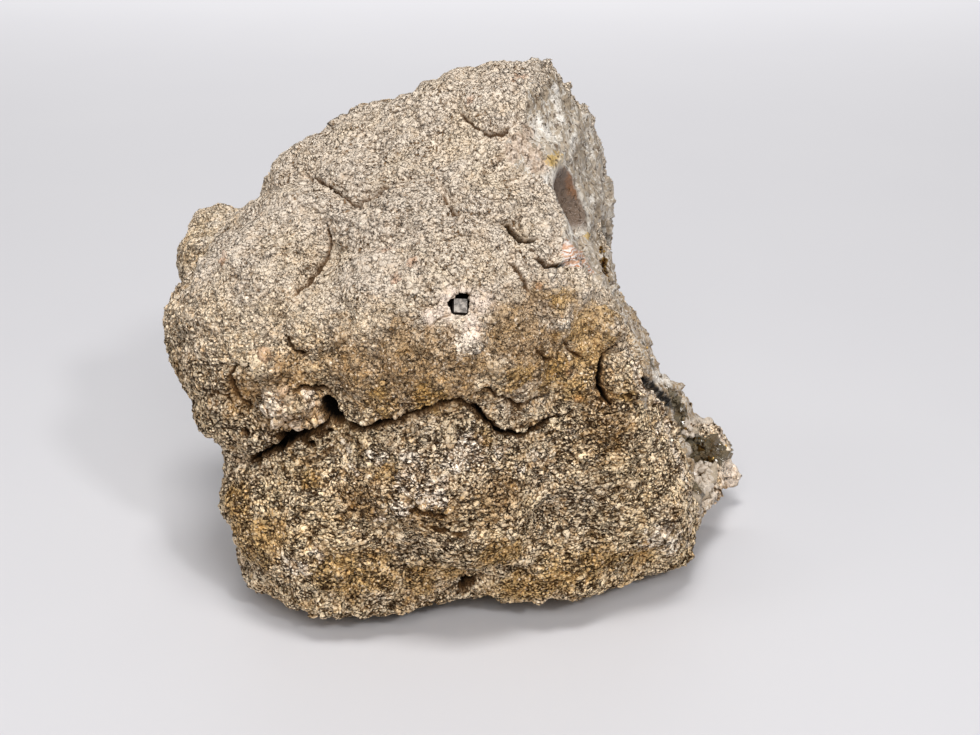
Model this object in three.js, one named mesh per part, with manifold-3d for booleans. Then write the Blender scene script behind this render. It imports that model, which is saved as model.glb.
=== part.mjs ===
// A hollow geode with a cauliflower rind, broken open on its right side (+X).
// The rind bulges in overlapping lobes. The break shows a thick chalcedony wall above and, below it,
// a deep hollow lined with one crust of quartz points and pyrite cubes.
// Millimetres, +Z up, the origin under the middle of the stone on the surface that it rests on.
import * as THREE from "three";
import { ImprovedNoise } from "three/addons/math/ImprovedNoise.js";
import { mergeVertices } from "three/addons/utils/BufferGeometryUtils.js";
import Module from "manifold-3d";

// Driving dimensions, in millimetres.
const HEART = [-4, -2, 62]; // the point that the outside is measured from
const RIND_DETAIL = 14; // rows of facets along each edge of the rind's icosahedron
const RIND_BLEND = 7; // how softly two lobes of the rind run into each other
const LUMPS = [
  { size: 26, height: 2.2 },
  { size: 12, height: 1.5 },
]; // the rind's lumps, coarse and fine: spacing and height
const HOLLOW_HEART = [24, 4, 50];
const HOLLOW_DETAIL = 5;
const HOLLOW_BLEND = 4;
const FIT_GAP = 0.35; // between the crust and the wall that it grew on
const CRUST_THICKNESS = 3.2;
const POCKET = { at: [31, -16, 107], half: [8, 8, 12] }; // the smooth smoky pocket high in the break
const QUARTZ = { count: 25, radius: [2.6, 4.6], length: [7, 13], lean: 0.45 };
const PYRITE = { count: 10, side: [3.4, 6], lean: 0.9 };
const CRYSTAL_SEED = 7;
const SPOT_TRIES = 60; // more tries spread the crystals more evenly
const BREAK_STEP = 5; // spacing of the break's facets
const PIT = { at: [2.2, -47.9, 94.7], into: [-0.18, 0.78, -0.6], radius: 2, depth: 5 }; // a vug in the belly

// The rind's lobes: middle, half-lengths along X, Y and Z, and a roll about Y in degrees.
const LOBES = [
  { name: "core", at: [-2, 2, 62], half: [54, 46, 60] },
  { name: "crown_left", at: [-15, 8, 87], half: [37, 34, 40] },
  { name: "crown_right", at: [11, 6, 89], half: [43, 32, 49], roll: 8 },
  { name: "brow", at: [-6, -8, 92], half: [46, 34, 26], roll: -10 },
  { name: "belly", at: [-1, -20, 81], half: [42, 35, 29], roll: -8 },
  { name: "left_cheek", at: [-37, -8, 71], half: [35, 36, 38] },
  { name: "left_knob", at: [-63, 21, 81], half: [13, 17, 15] },
  { name: "foot_left", at: [-28, -12, 31], half: [33, 36, 36] },
  { name: "heel", at: [-40, -14, 13], half: [18, 22, 17] },
  { name: "foot_middle", at: [-2, -17, 46], half: [31, 35, 38] },
  { name: "apron", at: [-2, -9, 36], half: [52, 38, 32] },
  { name: "sole", at: [-20, -15, 19], half: [33, 30, 17] },
  { name: "middle_sole", at: [4, -14, 32], half: [36, 33, 22] },
  { name: "foot_right", at: [24, -14, 20], half: [27, 27, 20] },
  { name: "shoulder", at: [34, -10, 76], half: [34, 30, 34] },
  { name: "flank", at: [30, -14, 60], half: [34, 31, 36] },
  { name: "plate", at: [42, -6, 42], half: [44, 27, 42] },
  { name: "skirt", at: [38, -9, 32], half: [38, 28, 25] },
  { name: "plate_corner", at: [56, -2, 20], half: [22, 18, 15] },
  { name: "broken_end", at: [44, 2, 86], half: [34, 34, 44] },
  { name: "far_foot", at: [70, 18, 20], half: [24, 15, 19] },
  { name: "back_upper", at: [-20, 30, 80], half: [38, 26, 32] },
  { name: "back_right", at: [26, 18, 62], half: [34, 22, 40] },
  { name: "back_lower", at: [-26, 26, 32], half: [32, 26, 35] },
  { name: "back_low_right", at: [32, 18, 26], half: [36, 20, 29] },
];

// The hollow's own lobes.
const HOLLOW_LOBES = [
  { name: "middle", at: [24, 4, 50], half: [32, 20, 33] },
  { name: "mouth", at: [60, 5, 42], half: [34, 18, 29] },
  { name: "upper", at: [34, 12, 74], half: [22, 16, 22] },
];

// The break's surface: at a height, its X where Y is 0, and how far X moves for each millimetre of Y.
const BREAK = [
  { z: -10, x: 67, lean: 0.34 },
  { z: 8, x: 68.5, lean: 0.43 },
  { z: 20, x: 67.8, lean: 0.35 },
  { z: 33, x: 63.5, lean: 0.11 },
  { z: 50, x: 55.8, lean: -0.03 },
  { z: 70, x: 46.3, lean: -0.09 },
  { z: 84, x: 41.1, lean: 0.03 },
  { z: 100, x: 35.5, lean: 0.18 },
  { z: 119, x: 29.5, lean: 0.25 },
  { z: 128, x: 22, lean: 0.46 },
  { z: 150, x: 12, lean: 0.6 },
];

const noise = new ImprovedNoise();
const solids = await Module();
solids.setup();

// Distance from a point along a direction to where the ray leaves a lobe, or 0 where it misses it.
function exitDistance(lobe, start, direction) {
  const turn = THREE.MathUtils.degToRad(-(lobe.roll ?? 0));
  const up = new THREE.Vector3(0, 1, 0);
  const scale = new THREE.Vector3(...lobe.half);
  const from = start.clone().sub(new THREE.Vector3(...lobe.at)).applyAxisAngle(up, turn).divide(scale);
  const along = direction.clone().applyAxisAngle(up, turn).divide(scale);
  const a = along.dot(along);
  const b = from.dot(along);
  const inside = b * b - a * (from.dot(from) - 1);
  return inside < 0 ? 0 : Math.max(0, (-b + Math.sqrt(inside)) / a);
}

function smoothMax(a, b, blend) {
  const near = Math.max(blend - Math.abs(a - b), 0) / blend;
  return Math.max(a, b) + (near * near * blend) / 4;
}

function reachOf(lobes, start, direction, blend) {
  return lobes.reduce((reach, lobe) => smoothMax(reach, exitDistance(lobe, start, direction), blend), 0);
}

function lumpsAt(point) {
  let height = 0;
  for (const lump of LUMPS) {
    const s = lump.size;
    height += lump.height * 1.6 * noise.noise(point.x / s, point.y / s, point.z / s);
  }
  return height;
}

// The same shape with its shared points merged, and without the triangles that this closes up.
function merged(geometry) {
  geometry.deleteAttribute("normal");
  geometry.deleteAttribute("uv");
  const shape = mergeVertices(geometry, 1e-4);
  const kept = [];
  for (let i = 0; i < shape.index.count; i += 3) {
    const corners = [shape.index.getX(i), shape.index.getX(i + 1), shape.index.getX(i + 2)];
    if (new Set(corners).size === 3) kept.push(...corners);
  }
  return shape.setIndex(kept);
}

// A closed shape around a middle, whose points lie reach(direction) away from it.
function blob(middle, detail, reach) {
  const shape = merged(new THREE.IcosahedronGeometry(1, detail));
  const points = shape.attributes.position;
  const point = new THREE.Vector3();
  for (let i = 0; i < points.count; i++) {
    point.fromBufferAttribute(points, i).normalize();
    point.multiplyScalar(reach(point)).add(middle);
    points.setXYZ(i, point.x, point.y, point.z);
  }
  return shape;
}

function solidOf(geometry) {
  return new solids.Manifold(
    new solids.Mesh({
      numProp: 3,
      vertProperties: geometry.attributes.position.array,
      triVerts: new Uint32Array(geometry.index.array),
    }),
  );
}

function geometryOf(solid) {
  const mesh = solid.getMesh();
  return new THREE.BufferGeometry()
    .setAttribute("position", new THREE.BufferAttribute(mesh.vertProperties, 3))
    .setIndex(new THREE.BufferAttribute(mesh.triVerts, 1));
}

function breakAt(y, z) {
  const upper = Math.max(1, BREAK.findIndex((row) => row.z >= z));
  const [low, high] = [BREAK[upper - 1], BREAK[upper]];
  const t = THREE.MathUtils.clamp((z - low.z) / (high.z - low.z), 0, 1);
  const smooth = t * t * (3 - 2 * t);
  const x = THREE.MathUtils.lerp(low.x, high.x, smooth);
  const lean = THREE.MathUtils.lerp(low.lean, high.lean, smooth);
  const chips = 2.4 * noise.noise(y / 14, z / 14, 3.7) + 1.4 * noise.noise(y / 6.5, z / 6.5, 9.1);
  return x + lean * y + chips;
}

// Everything on the missing side of the break, as a block whose near face is the break's surface.
function brokenOff(shift) {
  const [width, depth, height] = [120, 150, 170];
  const block = new THREE.BoxGeometry(
    width,
    depth,
    height,
    1,
    Math.round(depth / BREAK_STEP),
    Math.round(height / BREAK_STEP),
  );
  const shape = merged(block.translate(width / 2, 0, height / 2 - 15));
  const points = shape.attributes.position;
  for (let i = 0; i < points.count; i++) {
    const [x, y, z] = [points.getX(i), points.getY(i), points.getZ(i)];
    points.setX(i, x < 1 ? breakAt(y, z) + shift : x);
  }
  return solidOf(shape);
}

function rind() {
  const heart = new THREE.Vector3(...HEART);
  const reach = (direction) => {
    const distance = reachOf(LOBES, heart, direction, RIND_BLEND);
    return distance + lumpsAt(direction.clone().multiplyScalar(distance).add(heart));
  };
  return solidOf(blob(heart, RIND_DETAIL, reach));
}

function hollow(inset) {
  const heart = new THREE.Vector3(...HOLLOW_HEART);
  return solidOf(
    blob(heart, HOLLOW_DETAIL, (direction) => reachOf(HOLLOW_LOBES, heart, direction, HOLLOW_BLEND) - inset),
  );
}

function floorBlock() {
  const size = 300;
  return solidOf(merged(new THREE.BoxGeometry(size, size, size).translate(0, 0, -size / 2)));
}

// A vug in the belly, as the six-sided plug that fills it.
function pitPlug() {
  const [start, into] = [new THREE.Vector3(...PIT.at), new THREE.Vector3(...PIT.into).normalize()];
  const plug = new THREE.CylinderGeometry(PIT.radius, PIT.radius, 2 * PIT.depth, 6);
  plug.applyQuaternion(new THREE.Quaternion().setFromUnitVectors(new THREE.Vector3(0, 1, 0), into));
  return solidOf(merged(plug.translate(start.x, start.y, start.z)));
}

function pocket() {
  const shape = new THREE.IcosahedronGeometry(1, 3);
  return solidOf(merged(shape.scale(...POCKET.half).translate(...POCKET.at)));
}

function between([low, high]) {
  return THREE.MathUtils.lerp(low, high, THREE.MathUtils.seededRandom());
}

function randomDirection() {
  const height = between([-1, 1]);
  const turn = between([0, 2 * Math.PI]);
  const flat = Math.sqrt(1 - height * height);
  return new THREE.Vector3(flat * Math.cos(turn), flat * Math.sin(turn), height);
}

// A random spot on the crust's inner wall, short of the break.
function randomSpot() {
  const heart = new THREE.Vector3(...HOLLOW_HEART);
  const out = randomDirection();
  const depth = reachOf(HOLLOW_LOBES, heart, out, HOLLOW_BLEND) - CRUST_THICKNESS;
  const root = out.clone().multiplyScalar(depth).add(heart);
  return root.x < breakAt(root.y, root.z) - 3 ? { root, out } : randomSpot();
}

// Spots spread over the wall: each is the one of several tries that lies furthest from those before it.
function crystalSpots(count) {
  const spots = [];
  const room = (tried) => Math.min(...spots.map((spot) => spot.root.distanceTo(tried.root)), 1000);
  while (spots.length < count) {
    const tries = Array.from({ length: SPOT_TRIES }, randomSpot);
    spots.push(tries.reduce((best, tried) => (room(tried) > room(best) ? tried : best)));
  }
  return spots;
}

// Sets a crystal, modelled along +Y, on a spot of the wall, leaning a little away from square to it.
function setOnWall(shape, spot, lean) {
  const tilt = new THREE.Vector3(between([-lean, lean]), between([-lean, lean]), between([-lean, lean]));
  const aim = tilt.sub(spot.out).normalize();
  shape.rotateY(between([0, Math.PI]));
  shape.applyQuaternion(new THREE.Quaternion().setFromUnitVectors(new THREE.Vector3(0, 1, 0), aim));
  return solidOf(merged(shape.translate(...spot.root)));
}

// A six-sided quartz prism with a pointed end, its root at the origin and its point along +Y.
function quartzPoint() {
  const radius = between(QUARTZ.radius);
  const length = between(QUARTZ.length);
  const profile = [
    new THREE.Vector2(0, -1),
    new THREE.Vector2(radius, -1),
    new THREE.Vector2(radius, length - 1.6 * radius),
    new THREE.Vector2(0, length),
  ];
  return new THREE.LatheGeometry(profile, 6);
}

function pyriteCube() {
  const side = between(PYRITE.side);
  return new THREE.BoxGeometry(side, side, side).translate(0, side * 0.25, 0);
}

function crust() {
  THREE.MathUtils.seededRandom(CRYSTAL_SEED);
  const crystals = crystalSpots(QUARTZ.count + PYRITE.count).map((spot, i) =>
    i < PYRITE.count
      ? setOnWall(pyriteCube(), spot, PYRITE.lean)
      : setOnWall(quartzPoint(), spot, QUARTZ.lean),
  );
  const outer = hollow(FIT_GAP);
  return outer
    .subtract(hollow(CRUST_THICKNESS))
    .add(solids.Manifold.union(crystals))
    .intersect(outer)
    .subtract(brokenOff(-FIT_GAP));
}

const stoneSolid = rind()
  .subtract(brokenOff(0))
  .subtract(hollow(0))
  .subtract(pocket())
  .subtract(pitPlug())
  .subtract(floorBlock());
const stone = new THREE.Mesh(
  geometryOf(stoneSolid),
  new THREE.MeshStandardMaterial({ color: 0xb9a584, roughness: 0.9, metalness: 0 }),
);
stone.name = "geode_stone";

const lining = new THREE.Mesh(
  geometryOf(crust()),
  new THREE.MeshStandardMaterial({ color: 0x8d8a78, roughness: 0.3, metalness: 0.2 }),
);
lining.name = "crystal_crust";

const geode = new THREE.Group();
geode.add(stone, lining);
const middle = new THREE.Box3().setFromObject(geode).getCenter(new THREE.Vector3());
geode.position.set(-middle.x, -middle.y, 0);
export default geode;
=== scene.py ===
import math

import bmesh
import bpy
import numpy as np
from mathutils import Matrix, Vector, noise
from mathutils.bvhtree import BVHTree
from mathutils.kdtree import KDTree


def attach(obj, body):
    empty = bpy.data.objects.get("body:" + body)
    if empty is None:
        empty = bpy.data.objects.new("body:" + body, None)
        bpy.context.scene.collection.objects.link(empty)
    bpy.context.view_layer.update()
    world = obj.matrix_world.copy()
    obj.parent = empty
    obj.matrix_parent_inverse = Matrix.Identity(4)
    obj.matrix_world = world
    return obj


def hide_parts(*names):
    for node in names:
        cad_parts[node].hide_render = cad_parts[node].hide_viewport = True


# A hollow geode with a cauliflower rind, broken open on its right side. The frame's two solids are
# replaced by a finely shaped stone, the grains that its rind is made of, and a druse of quartz and
# pyrite in the hollow. Lengths are millimetres, and a mesh is scaled to metres when it is made.

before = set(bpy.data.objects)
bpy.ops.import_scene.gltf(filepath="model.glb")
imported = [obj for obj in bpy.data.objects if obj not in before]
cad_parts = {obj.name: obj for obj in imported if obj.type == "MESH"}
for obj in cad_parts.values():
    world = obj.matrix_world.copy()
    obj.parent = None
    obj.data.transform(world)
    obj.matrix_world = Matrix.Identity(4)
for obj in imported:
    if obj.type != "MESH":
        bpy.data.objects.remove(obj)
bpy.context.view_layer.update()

MM = 0.001

# The picture that the camera gives: its size in pixels, and the view.
PICTURE_SIZE = (980, 735)
LOOK_AT = np.array([6.0, -3.0, 58.9])
LOOK_DOWN = math.radians(24)
CAMERA_AWAY = 470.0
FOCAL_PIXELS = 1786.0
SENSOR = 36.0

# The grid that the stone is remeshed on, how often it is relaxed, how far from cracks its edges are
# halved once and again, and the height below which it is its flat base.
STONE_GRID = 1.3
RELAX_ROUNDS = 7
FINER_REACHES = (3.0, 1.4)
FLAT_BASE = 0.05

# The break: height, its X there where Y is 0, and how far X moves with each millimetre of Y.
BREAK_LINE = [
    (-10, 63.8, 0.34),
    (8, 65.3, 0.43),
    (20, 64.6, 0.35),
    (33, 60.3, 0.11),
    (50, 52.6, -0.03),
    (70, 43.1, -0.09),
    (84, 37.9, 0.03),
    (100, 32.3, 0.18),
    (119, 26.3, 0.25),
    (128, 18.8, 0.46),
    (150, 8.8, 0.6),
]

# The hollow: its middle, how far its wall is from there at most, and its lowest height.
HOLLOW_HEART = np.array([20.8, 4.2, 50.0])
HOLLOW_REACH = 60.0
HOLLOW_FLOOR = 8

# The smooth pocket in the break: its middle and half size, how far beyond that its wall is, how far
# behind the break it goes, the heights between which its colour starts, and where its glaze is.
POCKET_MIDDLE = np.array([27.8, -15.8, 107.0])
POCKET_HALF = np.array([8.0, 8.0, 12.0])
POCKET_ROOM = 1.15
POCKET_WALL = 14
POCKET_FLOOR = (99, 101)
GLAZE_PLACE = np.array([0.0, 0.9, 0.45])

# The broken face is where the surface is at most so far behind the break's own surface, and faces
# at least so much the same way. It is looser at the front, where the rim below bounds it. What has
# a lower Y than FRONT_SIDE is the front.
FRONT_BREAK = (10, 0.1)
BACK_BREAK = (4.2, 0.42)
FRONT_SIDE = 8

# The front edge of the break, from the top down, in pixels of the picture.
FRONT_RIM = [
    (545, 60), (526, 92), (525, 126), (504, 140), (507, 160), (529, 176), (544, 181), (552, 192),
    (567, 214), (561, 238), (562, 264), (582, 269), (597, 278), (612, 292), (622, 318), (633, 338),
    (640, 362), (649, 385), (661, 398), (670, 410), (675, 424), (680, 440), (685, 455), (690, 470),
    (695, 490), (700, 530), (700, 580),
]  # fmt: skip

# In pixels: the row above which all that is right of that rim is broken, the row below which the far
# lobe's rind starts, and the column and row that the upper end of the wall lies right of and above.
ALL_BROKEN_ABOVE = 290
FAR_LOBE_BELOW = 424
WALL_END = (590, 276)

# Where the stone's surface is pushed over: pixel, reach, how far along X, Y and Z, and the height
# below which it happens.
PUSHED = [
    (238, 478, 16.0, -2.6, 0, 0, 99),
    (668, 412, 15.0, -2.6, 0.0, 0.0, 99), (676, 440, 17.0, -3.2, 0.0, 0.0, 99),
    (684, 474, 15.0, -2.4, 0.0, 0.0, 99), (722, 512, 13.0, -6.5, 4.0, 4.5, 14),
    (706, 524, 14.0, -7.0, 5.0, 6.0, 14),
]  # fmt: skip

# How dark the painted shade at the bottom of a fold is, and the level ledges: from one to the next, and
# their depth.
FOLD_SHADE = 0.9
LEDGE = 2.4
LEDGE_DEPTH = 0.45

# How far the foot is drawn in over the floor and bulges above that, and below which heights.
UNDERCUT = 10.0
UNDERCUT_BELOW = 8.0
FOOT_BULGE = 1.8
FOOT_BULGE_BELOW = 16.0

# Heights between which the rind turns, going down, from pale to warm, and at last dark with painted
# shade just over the floor.
WARM_DOWN = (108, 60)
FOOT_SHADE = (6.0, 2.5)

# The pale, thin lip of the rind along the break, in pixels, how far it reaches and stands out.
LIP = [
    (636, 374), (643, 385), (653, 397), (661, 408), (667, 420), (670, 436), (675, 450), (681, 466),
    (686, 484), (689, 500), (689, 520), (689, 545),
]  # fmt: skip
LIP_REACH = 1.3
LIP_HEIGHT = 0.5

# The slot between the front rim and the far lobe, whose walls are darkened with painted shade: its line
# and its half width in pixels, and between which Y its walls are.
SIDE_SLOT = [(641, 377), (650, 385), (660, 394), (670, 402), (679, 411)]
SIDE_SLOT_REACH = 4.4
SIDE_SLOT_FROM = (-30, -26)
SIDE_SLOT_TO = (6, 2)

# The patch of druse on the far lobe: its middle and half size in pixels, and how far back it is.
FAR_PATCH = (703, 451)
FAR_PATCH_HALF = (25, 14)
FAR_PATCH_BEHIND = 8

# Where the rim of the hollow's crust is pale: its middle and half size in pixels.
PALE_RIM = (698, 496)
PALE_RIM_HALF = (10, 14)

# Cracks: where they run in pixels, half width, depth.
CRACKS = [
    ([(642, 377), (648, 383), (655, 389), (662, 395), (670, 402), (678, 410)], 1.5, 3.0),
    ([(326, 404), (334, 414), (345, 424), (357, 429), (372, 427), (389, 423), (406, 419),
      (420, 413), (434, 408), (455, 403), (466, 406), (475, 412), (487, 421), (501, 430)], 0.95, 4.5),
    ([(490, 423), (501, 431), (518, 435), (539, 427), (556, 419)], 0.55, 2.8),
    ([(472, 398), (482, 394), (490, 394), (500, 400), (510, 403), (520, 408), (530, 403)], 0.45, 2.2),
    ([(334, 416), (324, 426), (318, 432), (304, 431), (297, 437), (284, 445), (272, 451),
      (258, 457), (248, 462)], 0.9, 4.5),
    ([(314, 430), (306, 440), (308, 448)], 0.5, 2.0),
    ([(234, 364), (230, 374), (230, 385), (236, 397), (244, 408), (248, 416)], 0.38, 1.6),
    ([(294, 392), (301, 389), (312, 390), (322, 390), (334, 398)], 0.45, 2.0),
    ([(297, 169), (310, 171), (322, 177), (337, 187), (348, 196), (356, 197), (366, 190),
      (381, 181), (394, 175), (407, 171)], 0.42, 1.5),
    ([(455, 107), (464, 117), (472, 123), (484, 131), (500, 131), (513, 126)], 0.4, 1.2),
    ([(440, 184), (447, 198), (455, 210), (464, 208)], 0.45, 1.5),
    ([(506, 222), (513, 225), (520, 232), (529, 237), (540, 237)], 0.65, 3.0),
    ([(534, 255), (541, 259), (549, 264), (559, 264), (568, 262)], 0.7, 3.2),
    ([(508, 254), (515, 259), (522, 272), (530, 290)], 0.42, 1.4),
    ([(322, 217), (326, 232), (324, 248), (315, 265), (303, 278), (290, 294)], 0.42, 1.5),
    ([(282, 335), (290, 350), (305, 356)], 0.45, 1.5),
    ([(538, 349), (544, 355), (547, 362), (556, 360)], 0.45, 1.6),
    ([(567, 340), (572, 346), (575, 352), (583, 357)], 0.45, 1.6),
    ([(606, 354), (602, 366), (600, 378), (601, 391), (606, 399), (613, 405)], 0.7, 4.0),
    ([(604, 357), (611, 351), (621, 346), (630, 338)], 0.32, 1.2),
    ([(601, 250), (602, 262), (604, 272), (611, 282), (623, 293)], 1.2, 3.6),
    ([(645, 376), (657, 387), (667, 401), (673, 420)], 1.1, 3.4),
    ([(467, 606), (466, 598), (467, 590), (470, 582)], 1.5, 3.5),
    ([(406, 511), (420, 513), (434, 516), (447, 518)], 0.4, 1.3),
    ([(466, 519), (473, 522), (479, 520)], 0.4, 1.3),
    ([(434, 531), (452, 533), (470, 537)], 0.3, 0.9),
    ([(458, 308), (446, 316), (436, 322), (415, 337)], 0.22, 0.5),
    ([(463, 312), (467, 322), (472, 336)], 0.22, 0.5),
    ([(626, 391), (633, 398), (640, 394)], 0.35, 1.2),
    ([(208, 392), (222, 396), (232, 403)], 0.3, 0.7),
]  # fmt: skip

# Broad folds between the lobes: where they run in pixels, half width, depth.
FOLDS = [
    ([(245, 205), (263, 186), (282, 174), (297, 169), (308, 171), (322, 177), (337, 187),
      (350, 197)], 3.8, 2.0),
    ([(350, 197), (365, 191), (381, 181), (394, 175), (407, 171), (425, 160), (440, 148)], 3.4, 1.5),
    ([(438, 179), (447, 194), (455, 209)], 2.8, 1.5),
    ([(455, 209), (480, 213), (506, 224), (535, 238)], 3.0, 1.8),
    ([(455, 107), (472, 122), (483, 130), (506, 132), (521, 122)], 3.2, 1.5),
    ([(305, 210), (322, 217), (326, 232), (325, 248), (314, 267), (302, 279), (288, 298),
      (278, 318), (281, 335), (290, 351), (305, 356)], 3.2, 2.2),
    ([(302, 279), (330, 254), (368, 239), (403, 230), (453, 234), (490, 238), (508, 250),
      (523, 272), (531, 293), (545, 306)], 3.6, 2.0),
    ([(248, 214), (220, 231), (212, 242), (194, 257), (185, 279)], 3.6, 2.2),
    ([(234, 366), (230, 382), (238, 395), (246, 411)], 1.6, 0.7),
    ([(560, 300), (550, 328), (562, 350), (575, 347), (590, 372), (600, 393)], 3.2, 1.2),
    ([(560, 425), (554, 470), (552, 505), (546, 545)], 6.5, 2.6),
    ([(467, 588), (490, 576), (508, 573), (530, 580)], 2.8, 1.5),
    ([(603, 356), (620, 347), (632, 338)], 2.0, 1.3),
    ([(363, 108), (372, 125), (378, 143), (372, 160)], 4.0, 1.4),
    ([(505, 150), (495, 165), (480, 180), (455, 190)], 3.0, 1.1),
    ([(330, 400), (300, 386), (270, 384), (248, 398), (246, 411)], 3.0, 1.2),
    ([(240, 460), (300, 470), (345, 440)], 5.0, 1.2),
    ([(600, 300), (585, 320), (592, 345), (603, 356)], 2.6, 1.2),
]  # fmt: skip

# Bulges: where they are in pixels, how far they reach, height.
BULGES = [
    (302, 402, 6.0, 3.0), (276, 410, 4.5, 1.6), (542, 220, 6.0, 1.6), (373, 172, 5.0, 1.2),
    (265, 364, 5.0, 1.0), (628, 378, 6.5, 1.6), (556, 198, 4.5, 1.2), (520, 205, 5.0, 1.0),
    (585, 280, 5.0, 1.2), (505, 412, 4.5, 1.2), (620, 325, 5.0, 1.2), (300, 205, 8.0, 1.0),
    (480, 165, 6.0, 1.0),
]  # fmt: skip

# Holes: where they are in pixels, radius, depth.
HOLES = [
    (460, 305, 2.6, 3.6), (329, 406, 1.9, 5.5), (334, 416, 2.2, 6.0), (341, 422, 1.4, 4.5),
    (288, 436, 2.3, 6.0), (298, 433, 2.3, 6.0), (276, 448, 1.5, 4.0), (254, 459, 1.6, 3.0),
    (312, 444, 1.0, 3.0), (246, 432, 1.1, 2.6), (262, 430, 0.9, 2.2), (475, 151, 0.8, 1.5),
    (571, 167, 1.5, 2.2), (577, 240, 1.0, 1.6), (563, 237, 0.8, 1.4), (467, 590, 2.0, 3.0),
    (330, 431, 1.0, 2.4), (309, 541, 0.8, 1.6), (472, 521, 0.8, 1.6), (548, 361, 0.9, 1.8),
    (608, 285, 1.6, 3.0),
]  # fmt: skip

# Spots of colour on the rind: where they are in pixels, and how far they reach.
CHALKY = [
    (276, 409, 3.2), (306, 396, 3.0), (322, 424, 1.8), (470, 450, 5.5), (455, 462, 4),
    (430, 493, 5), (405, 480, 4), (440, 492, 4.5), (412, 462, 4),
    (376, 458, 3.5), (350, 470, 2.5), (195, 350, 2.2), (585, 500, 3), (470, 346, 4.5), (296, 568, 5),
    (318, 556, 3), (572, 432, 2.6), (566, 452, 2.2), (659, 430, 2.6), (632, 350, 2.4), (565, 325, 2),
    (398, 508, 3), (536, 455, 2.5), (520, 470, 2.4), (270, 402, 3), (640, 365, 2.2), (560, 262, 2),
    (660, 540, 6), (676, 545, 6), (380, 520, 2.4), (500, 452, 3), (345, 447, 3), (205, 240, 3),
]  # fmt: skip
OCHRE = [
    (238, 500, 7), (242, 525, 9), (252, 550, 9), (270, 532, 6), (334, 573, 8), (375, 575, 8),
    (420, 580, 8), (455, 575, 6), (387, 471, 4.5), (350, 585, 7), (600, 562, 8), (560, 580, 8),
    (640, 560, 6), (525, 590, 8), (590, 325, 7), (600, 345, 6), (588, 358, 6), (560, 372, 6),
    (605, 315, 5), (520, 383, 5), (565, 300, 5), (430, 400, 6), (380, 405, 5), (480, 438, 4),
    (500, 560, 8), (310, 480, 4), (560, 345, 4), (575, 385, 5), (545, 390, 5), (628, 395, 2.5),
]  # fmt: skip
RUSTY = [
    (412, 322, 1.4), (475, 335, 1.6), (479, 328, 1.2), (523, 74, 2.4), (512, 80, 1.6), (470, 100, 1.6),
    (385, 245, 2.5), (410, 262, 2.2), (400, 228, 1.8), (300, 300, 1.8), (565, 317, 1.6), (560, 308, 1.4),
    (285, 398, 1.8), (265, 360, 2), (540, 283, 1.6), (503, 293, 1.2), (430, 243, 1.6), (395, 278, 2),
    (568, 372, 1.6), (578, 400, 1.5), (520, 160, 1.6), (553, 258, 1.5), (222, 260, 1.6),
]  # fmt: skip
HALO = [
    (728, 470, 5), (734, 480, 5), (722, 482, 5), (735, 466, 4), (730, 456, 4), (722, 444, 4),
    (726, 490, 4), (712, 500, 5), (702, 508, 4),
    (460, 305, 4.2), (447, 313, 3.2), (481, 302, 3.6), (470, 322, 3.0), (430, 316, 2.4),
    (450, 298, 3.0), (470, 338, 2.6),
]  # fmt: skip
NODULE = [(290, 408, 5.0), (275, 402, 4.0), (306, 406, 4.2), (298, 422, 3.6), (316, 412, 3.0)]
GRANULES = [
    (262, 362, 3.0), (270, 372, 3.2), (254, 374, 2.6), (698, 480, 6), (710, 488, 6), (722, 476, 5),
    (730, 462, 4), (728, 446, 4),
]  # fmt: skip
SMOOTH = [
    (660, 540, 4.5), (676, 546, 4.5), (666, 368, 5), (655, 362, 4), (740, 480, 5), (747, 492, 4),
    (744, 470, 4), (734, 456, 4), (728, 505, 4),
]  # fmt: skip
PALE_CRUST = [
    (690, 431, 5), (701, 436, 4), (697, 476, 6), (706, 486, 7), (700, 498, 7), (714, 472, 5),
    (725, 478, 7), (718, 492, 7), (731, 464, 5), (733, 450, 4), (722, 434, 4), (706, 424, 4),
    (660, 366, 4),
]  # fmt: skip
LAMINAR = [
    (620, 470, 28), (640, 520, 20), (600, 540, 20), (410, 520, 22), (460, 540, 18), (350, 540, 18),
    (560, 560, 14), (650, 440, 14), (340, 205, 12), (420, 200, 16), (500, 200, 12),
]  # fmt: skip
# Darker patches of the rind: the first three are painted shade in the hollows by the nodule, and many of
# the rest painted shade where the belly curves under.
DUSKY_AND_SHADE = [
    (298, 420, 6), (284, 426, 6), (318, 408, 4),
    (410, 378, 15), (350, 368, 11), (455, 392, 9), (520, 335, 11), (545, 360, 9), (430, 510, 9),
    (360, 500, 8), (290, 380, 8), (240, 400, 8), (500, 500, 8), (600, 400, 6), (470, 365, 9),
    (540, 300, 6), (610, 430, 8), (400, 340, 6),
]  # fmt: skip

# Spots on the break, and how thick its coloured layers are.
LAYER = 1.7
YELLOW_SPOT = [(560, 161, 3.4), (554, 160, 2.6), (643, 385, 1.6), (588, 236, 1.4)]
BANDED_PATCH = [(574, 258, 4.2), (584, 264, 4.0), (568, 252, 3.4)]
SOFT_WHITE = [
    (562, 262, 3), (555, 90, 2.6), (556, 100, 2.4), (558, 110, 2.6), (559, 122, 3.0), (550, 134, 4),
    (538, 128, 4), (582, 98, 3), (590, 152, 3.4), (576, 142, 3.4), (548, 178, 3),
    (552, 190, 2.4), (590, 200, 2.4), (586, 228, 3), (572, 236, 3), (664, 380, 5), (655, 374, 5),
]  # fmt: skip
CHIPS = [(520, 142, 4), (533, 156, 3.5), (512, 152, 3.5), (540, 166, 3), (528, 130, 3)]

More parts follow.
